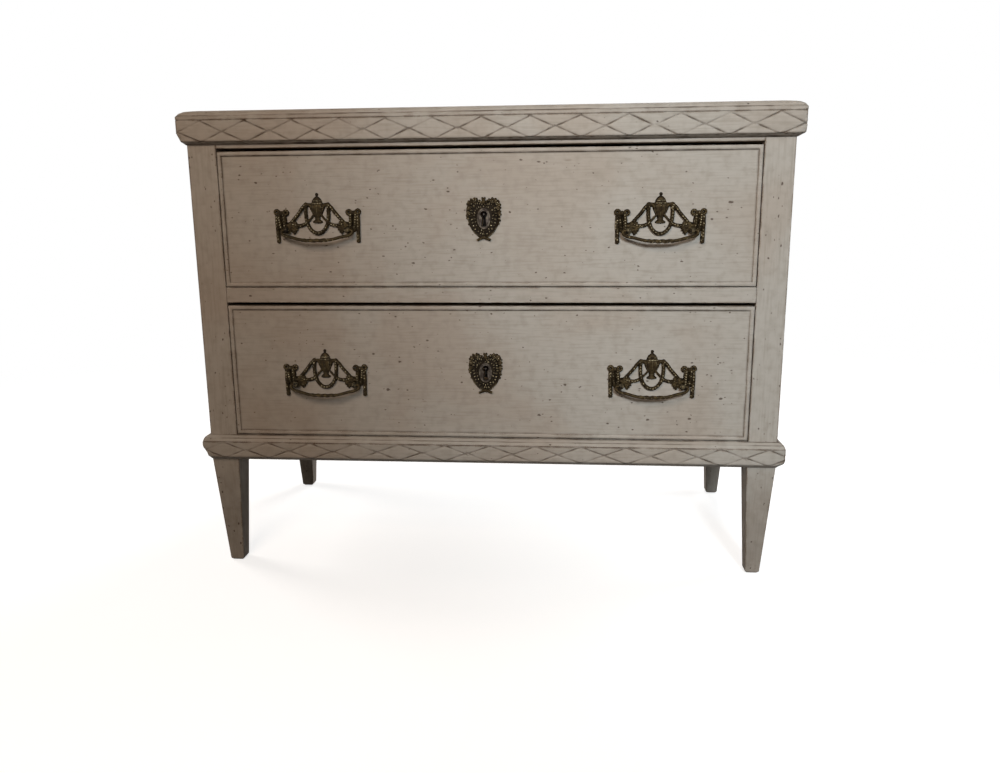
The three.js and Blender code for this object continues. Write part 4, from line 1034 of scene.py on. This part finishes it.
handle_data = cast("handle", handle_pattern(), voxel=0.45, back=-0.3, settle=2)
bail_data = cast("bail", bail_pattern(), voxel=0.4, back=None, settle=1)
for drawer in ("lower", "upper"):
    low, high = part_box(f"{drawer}_drawer_front")
    for side in ("left", "right"):
        handle = f"{drawer}_{side}"
        near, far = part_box(f"{handle}_handle_left_bolt")[0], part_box(f"{handle}_handle_right_bolt")[1]
        bolts = Vector(((near.x + far.x) / 2, low.y, (near.z + far.z) / 2))
        centre = bolts + Vector((0, 0, -boss_z)) * MM
        placed(f"{handle}_casting", handle_data, centre, f"{drawer}_drawer", f"{handle}_handle_plate")
        swing = bolts + Vector((0, -axis_out, 0)) * MM
        placed(f"{handle}_swing_bail", bail_data, swing, f"{handle}_bail", f"{handle}_bail")
        for end in ("left", "right"):
            finished(f"{handle}_handle_{end}_bolt", bolt_brass, 0.3 * MM)

# Escutcheons, cast like the handles: an oval plate round the keyhole in a leafy wreath, with a bow above and
# crossed ribbon ends below, held by small pins.
key_head, key_slot, key_foot, key_height, key_steps = 5.9, 6.8, 8.8, 25.0, 16
oval_half_width, oval_half_height, oval_sides = 11.0, 17.0, 48
wreath_half_width, wreath_half_height, wreath_steps = 10.4, 16.4, 72


# The keyhole's outline: a round head over a slot that widens to its foot
def keyhole():
    centre = key_height / 2 - key_head
    lean = asin(key_slot / 2 / key_head)
    outline = []
    for i in range(key_steps + 1):
        angle = lean - pi / 2 + (2 * pi - 2 * lean) * i / key_steps
        outline.append((key_head * cos(angle), centre + key_head * sin(angle)))
    left = [(-key_slot / 2, -centre / 2), (-key_foot / 2, -key_height / 2)]
    return outline + left + [(-x, z) for x, z in left[::-1]]


# The oval plate, with a raised rim, pierced by the keyhole
def shield_plate():
    hole = keyhole()
    mesh = bmesh.new()
    grime_and_shade = mesh.verts.layers.float.new("grime_and_shade")
    outer = []
    for out, grow in ((0.0, 0.5), (-1.2, 0.5), (-2.2, 0.0), (-2.2, -2.2), (-1.6, -2.8)):
        wide, tall = oval_half_width + grow, oval_half_height + grow
        outer.append([mesh.verts.new((wide * right, out, tall * up)) for right, up in whole_turn(oval_sides)])
    skin(mesh, outer, False)
    inner = [[mesh.verts.new((x, out, z)) for x, z in hole] for out in (-1.6, 0.0)]
    # The keyhole's walls darken towards the back: painted shade in the hole
    for vert in inner[1]:
        vert[grime_and_shade] = 1.0
    skin(mesh, inner, False)
    for rims in ((outer[-1], inner[0]), (outer[0], inner[1])):
        loops = [mesh.edges.get(pair) for rim in rims for pair in zip(rim, rim[1:] + rim[:1])]
        bmesh.ops.triangle_fill(mesh, edges=loops, use_beauty=True)
    mesh.transform(Matrix.Translation((0, -joint_gap, 0)) @ Matrix.Scale(MM, 4))
    return mesh


# The shield's edge and the oval within it, as mm from the keyhole's middle
shield_edge = [(0, 27.5), (6, 29), (11, 32.2), (15.5, 33.4), (21, 31.4), (25.6, 27.4), (28, 21.5), (27, 14.8),
               (28.6, 9), (27.8, 2), (26, -6), (23.6, -12), (20.2, -18.6), (15.2, -24.8), (9.6, -29.8),
               (4.2, -32.6), (0, -33.4)]


# A point between the oval and the shield's edge, from how far round and what share of the way out
def shield_point(turn, share):
    outline = shield_edge + [(-x, z) for x, z in shield_edge[-2:0:-1]]
    at = turn * len(outline)
    near, next_one = outline[int(at) % len(outline)], outline[(int(at) + 1) % len(outline)]
    edge = Vector(near).lerp(Vector(next_one), at - int(at))
    angle = atan2(edge.y / wreath_half_height, edge.x / wreath_half_width)
    oval = Vector((wreath_half_width * cos(angle), wreath_half_height * sin(angle)))
    return oval.lerp(edge, share)


def wreath_pattern():
    mesh = bmesh.new()
    section = [(0.0, 0.0), (0.0, -1.8), (0.2, -1.2), (0.7, -1.0), (0.84, -1.8), (0.94, -2.8), (1.0, -1.6),
               (1.0, 0.0)]
    rings = []
    for k in range(wreath_steps):
        spots = [(shield_point(k / wreath_steps, share), out) for share, out in section]
        rings.append([mesh.verts.new((spot.x, out, spot.y)) for spot, out in spots])
    skin(mesh, rings + rings[:1], False)
    for row, (share, count, size) in enumerate(((0.26, 24, 1.7), (0.58, 32, 2.0), (0.88, 38, 2.0))):
        for k in range(count):
            spot = shield_point((k + 0.5 * (row % 2)) / count, share + carver.uniform(-0.05, 0.05))
            if spot.y < -2 and row == 2:
                continue
            grow = size * carver.uniform(0.7, 1.15) * (0.85 if spot.y < -2 else 1.0)
            turn = atan2(-spot.y, spot.x) + carver.uniform(-0.7, 0.7)
            place = (spot.x, -2.3 - carver.uniform(0, 1.3), spot.y)
            lump(mesh, place, (grow * 1.15, grow * 0.95, grow * 0.8), turn)
    for k in range(34):
        spot = shield_point((k + carver.uniform(-0.3, 0.3)) / 34, 1.0)
        if spot.y > -12:
            lump(mesh, (spot.x, -1.6, spot.y), (1.9, 1.5, 1.7 + carver.uniform(0, 0.8)), carver.uniform(0, 3))
    for side in (1, -1):
        for x, z, radius in ((15.6, 28.6, 3.1), (23.0, 25.6, 2.9), (24.6, 17.4, 2.5), (25.4, 8.6, 2.2)):
            curl(mesh, side * x, z, radius, 1.5, 10)
            lump(mesh, (side * x, -3.6, z), (1.4, 1.4, 1.4))
        cord_tube(mesh, [(0, -2.4, -30.6), (side * 6.0, -2.6, -33.0), (side * 11.6, -2.2, -35.4)], 2.2)
    lump(mesh, (0, -3.0, 27.0), (3.8, 2.8, 3.4))
    lump(mesh, (0, -2.8, 30.6), (3.2, 2.4, 2.8))
    for x in (-1.9, 2.1):
        lump(mesh, (x, -2.4, 33.2), (1.9, 1.8, 2.2))
    lump(mesh, (0, -3.2, -30.5), (4.0, 2.8, 3.0))
    return mesh


wreath_data = cast("wreath", wreath_pattern(), voxel=0.42, back=-0.3, settle=1)
for drawer in ("lower", "upper"):
    low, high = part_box(f"{drawer}_drawer_front")
    centre = Vector((0, low.y, (low.z + high.z) / 2))
    plate = shown(f"{drawer}_keyhole_plate", shield_plate(), 40)
    plate.data.transform(Matrix.Translation(centre))
    plate.data.materials.append(worn_brass)
    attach(plate, f"{drawer}_drawer")
    placed(f"{drawer}_wreath", wreath_data, centre, f"{drawer}_drawer", f"{drawer}_escutcheon")

low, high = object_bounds()
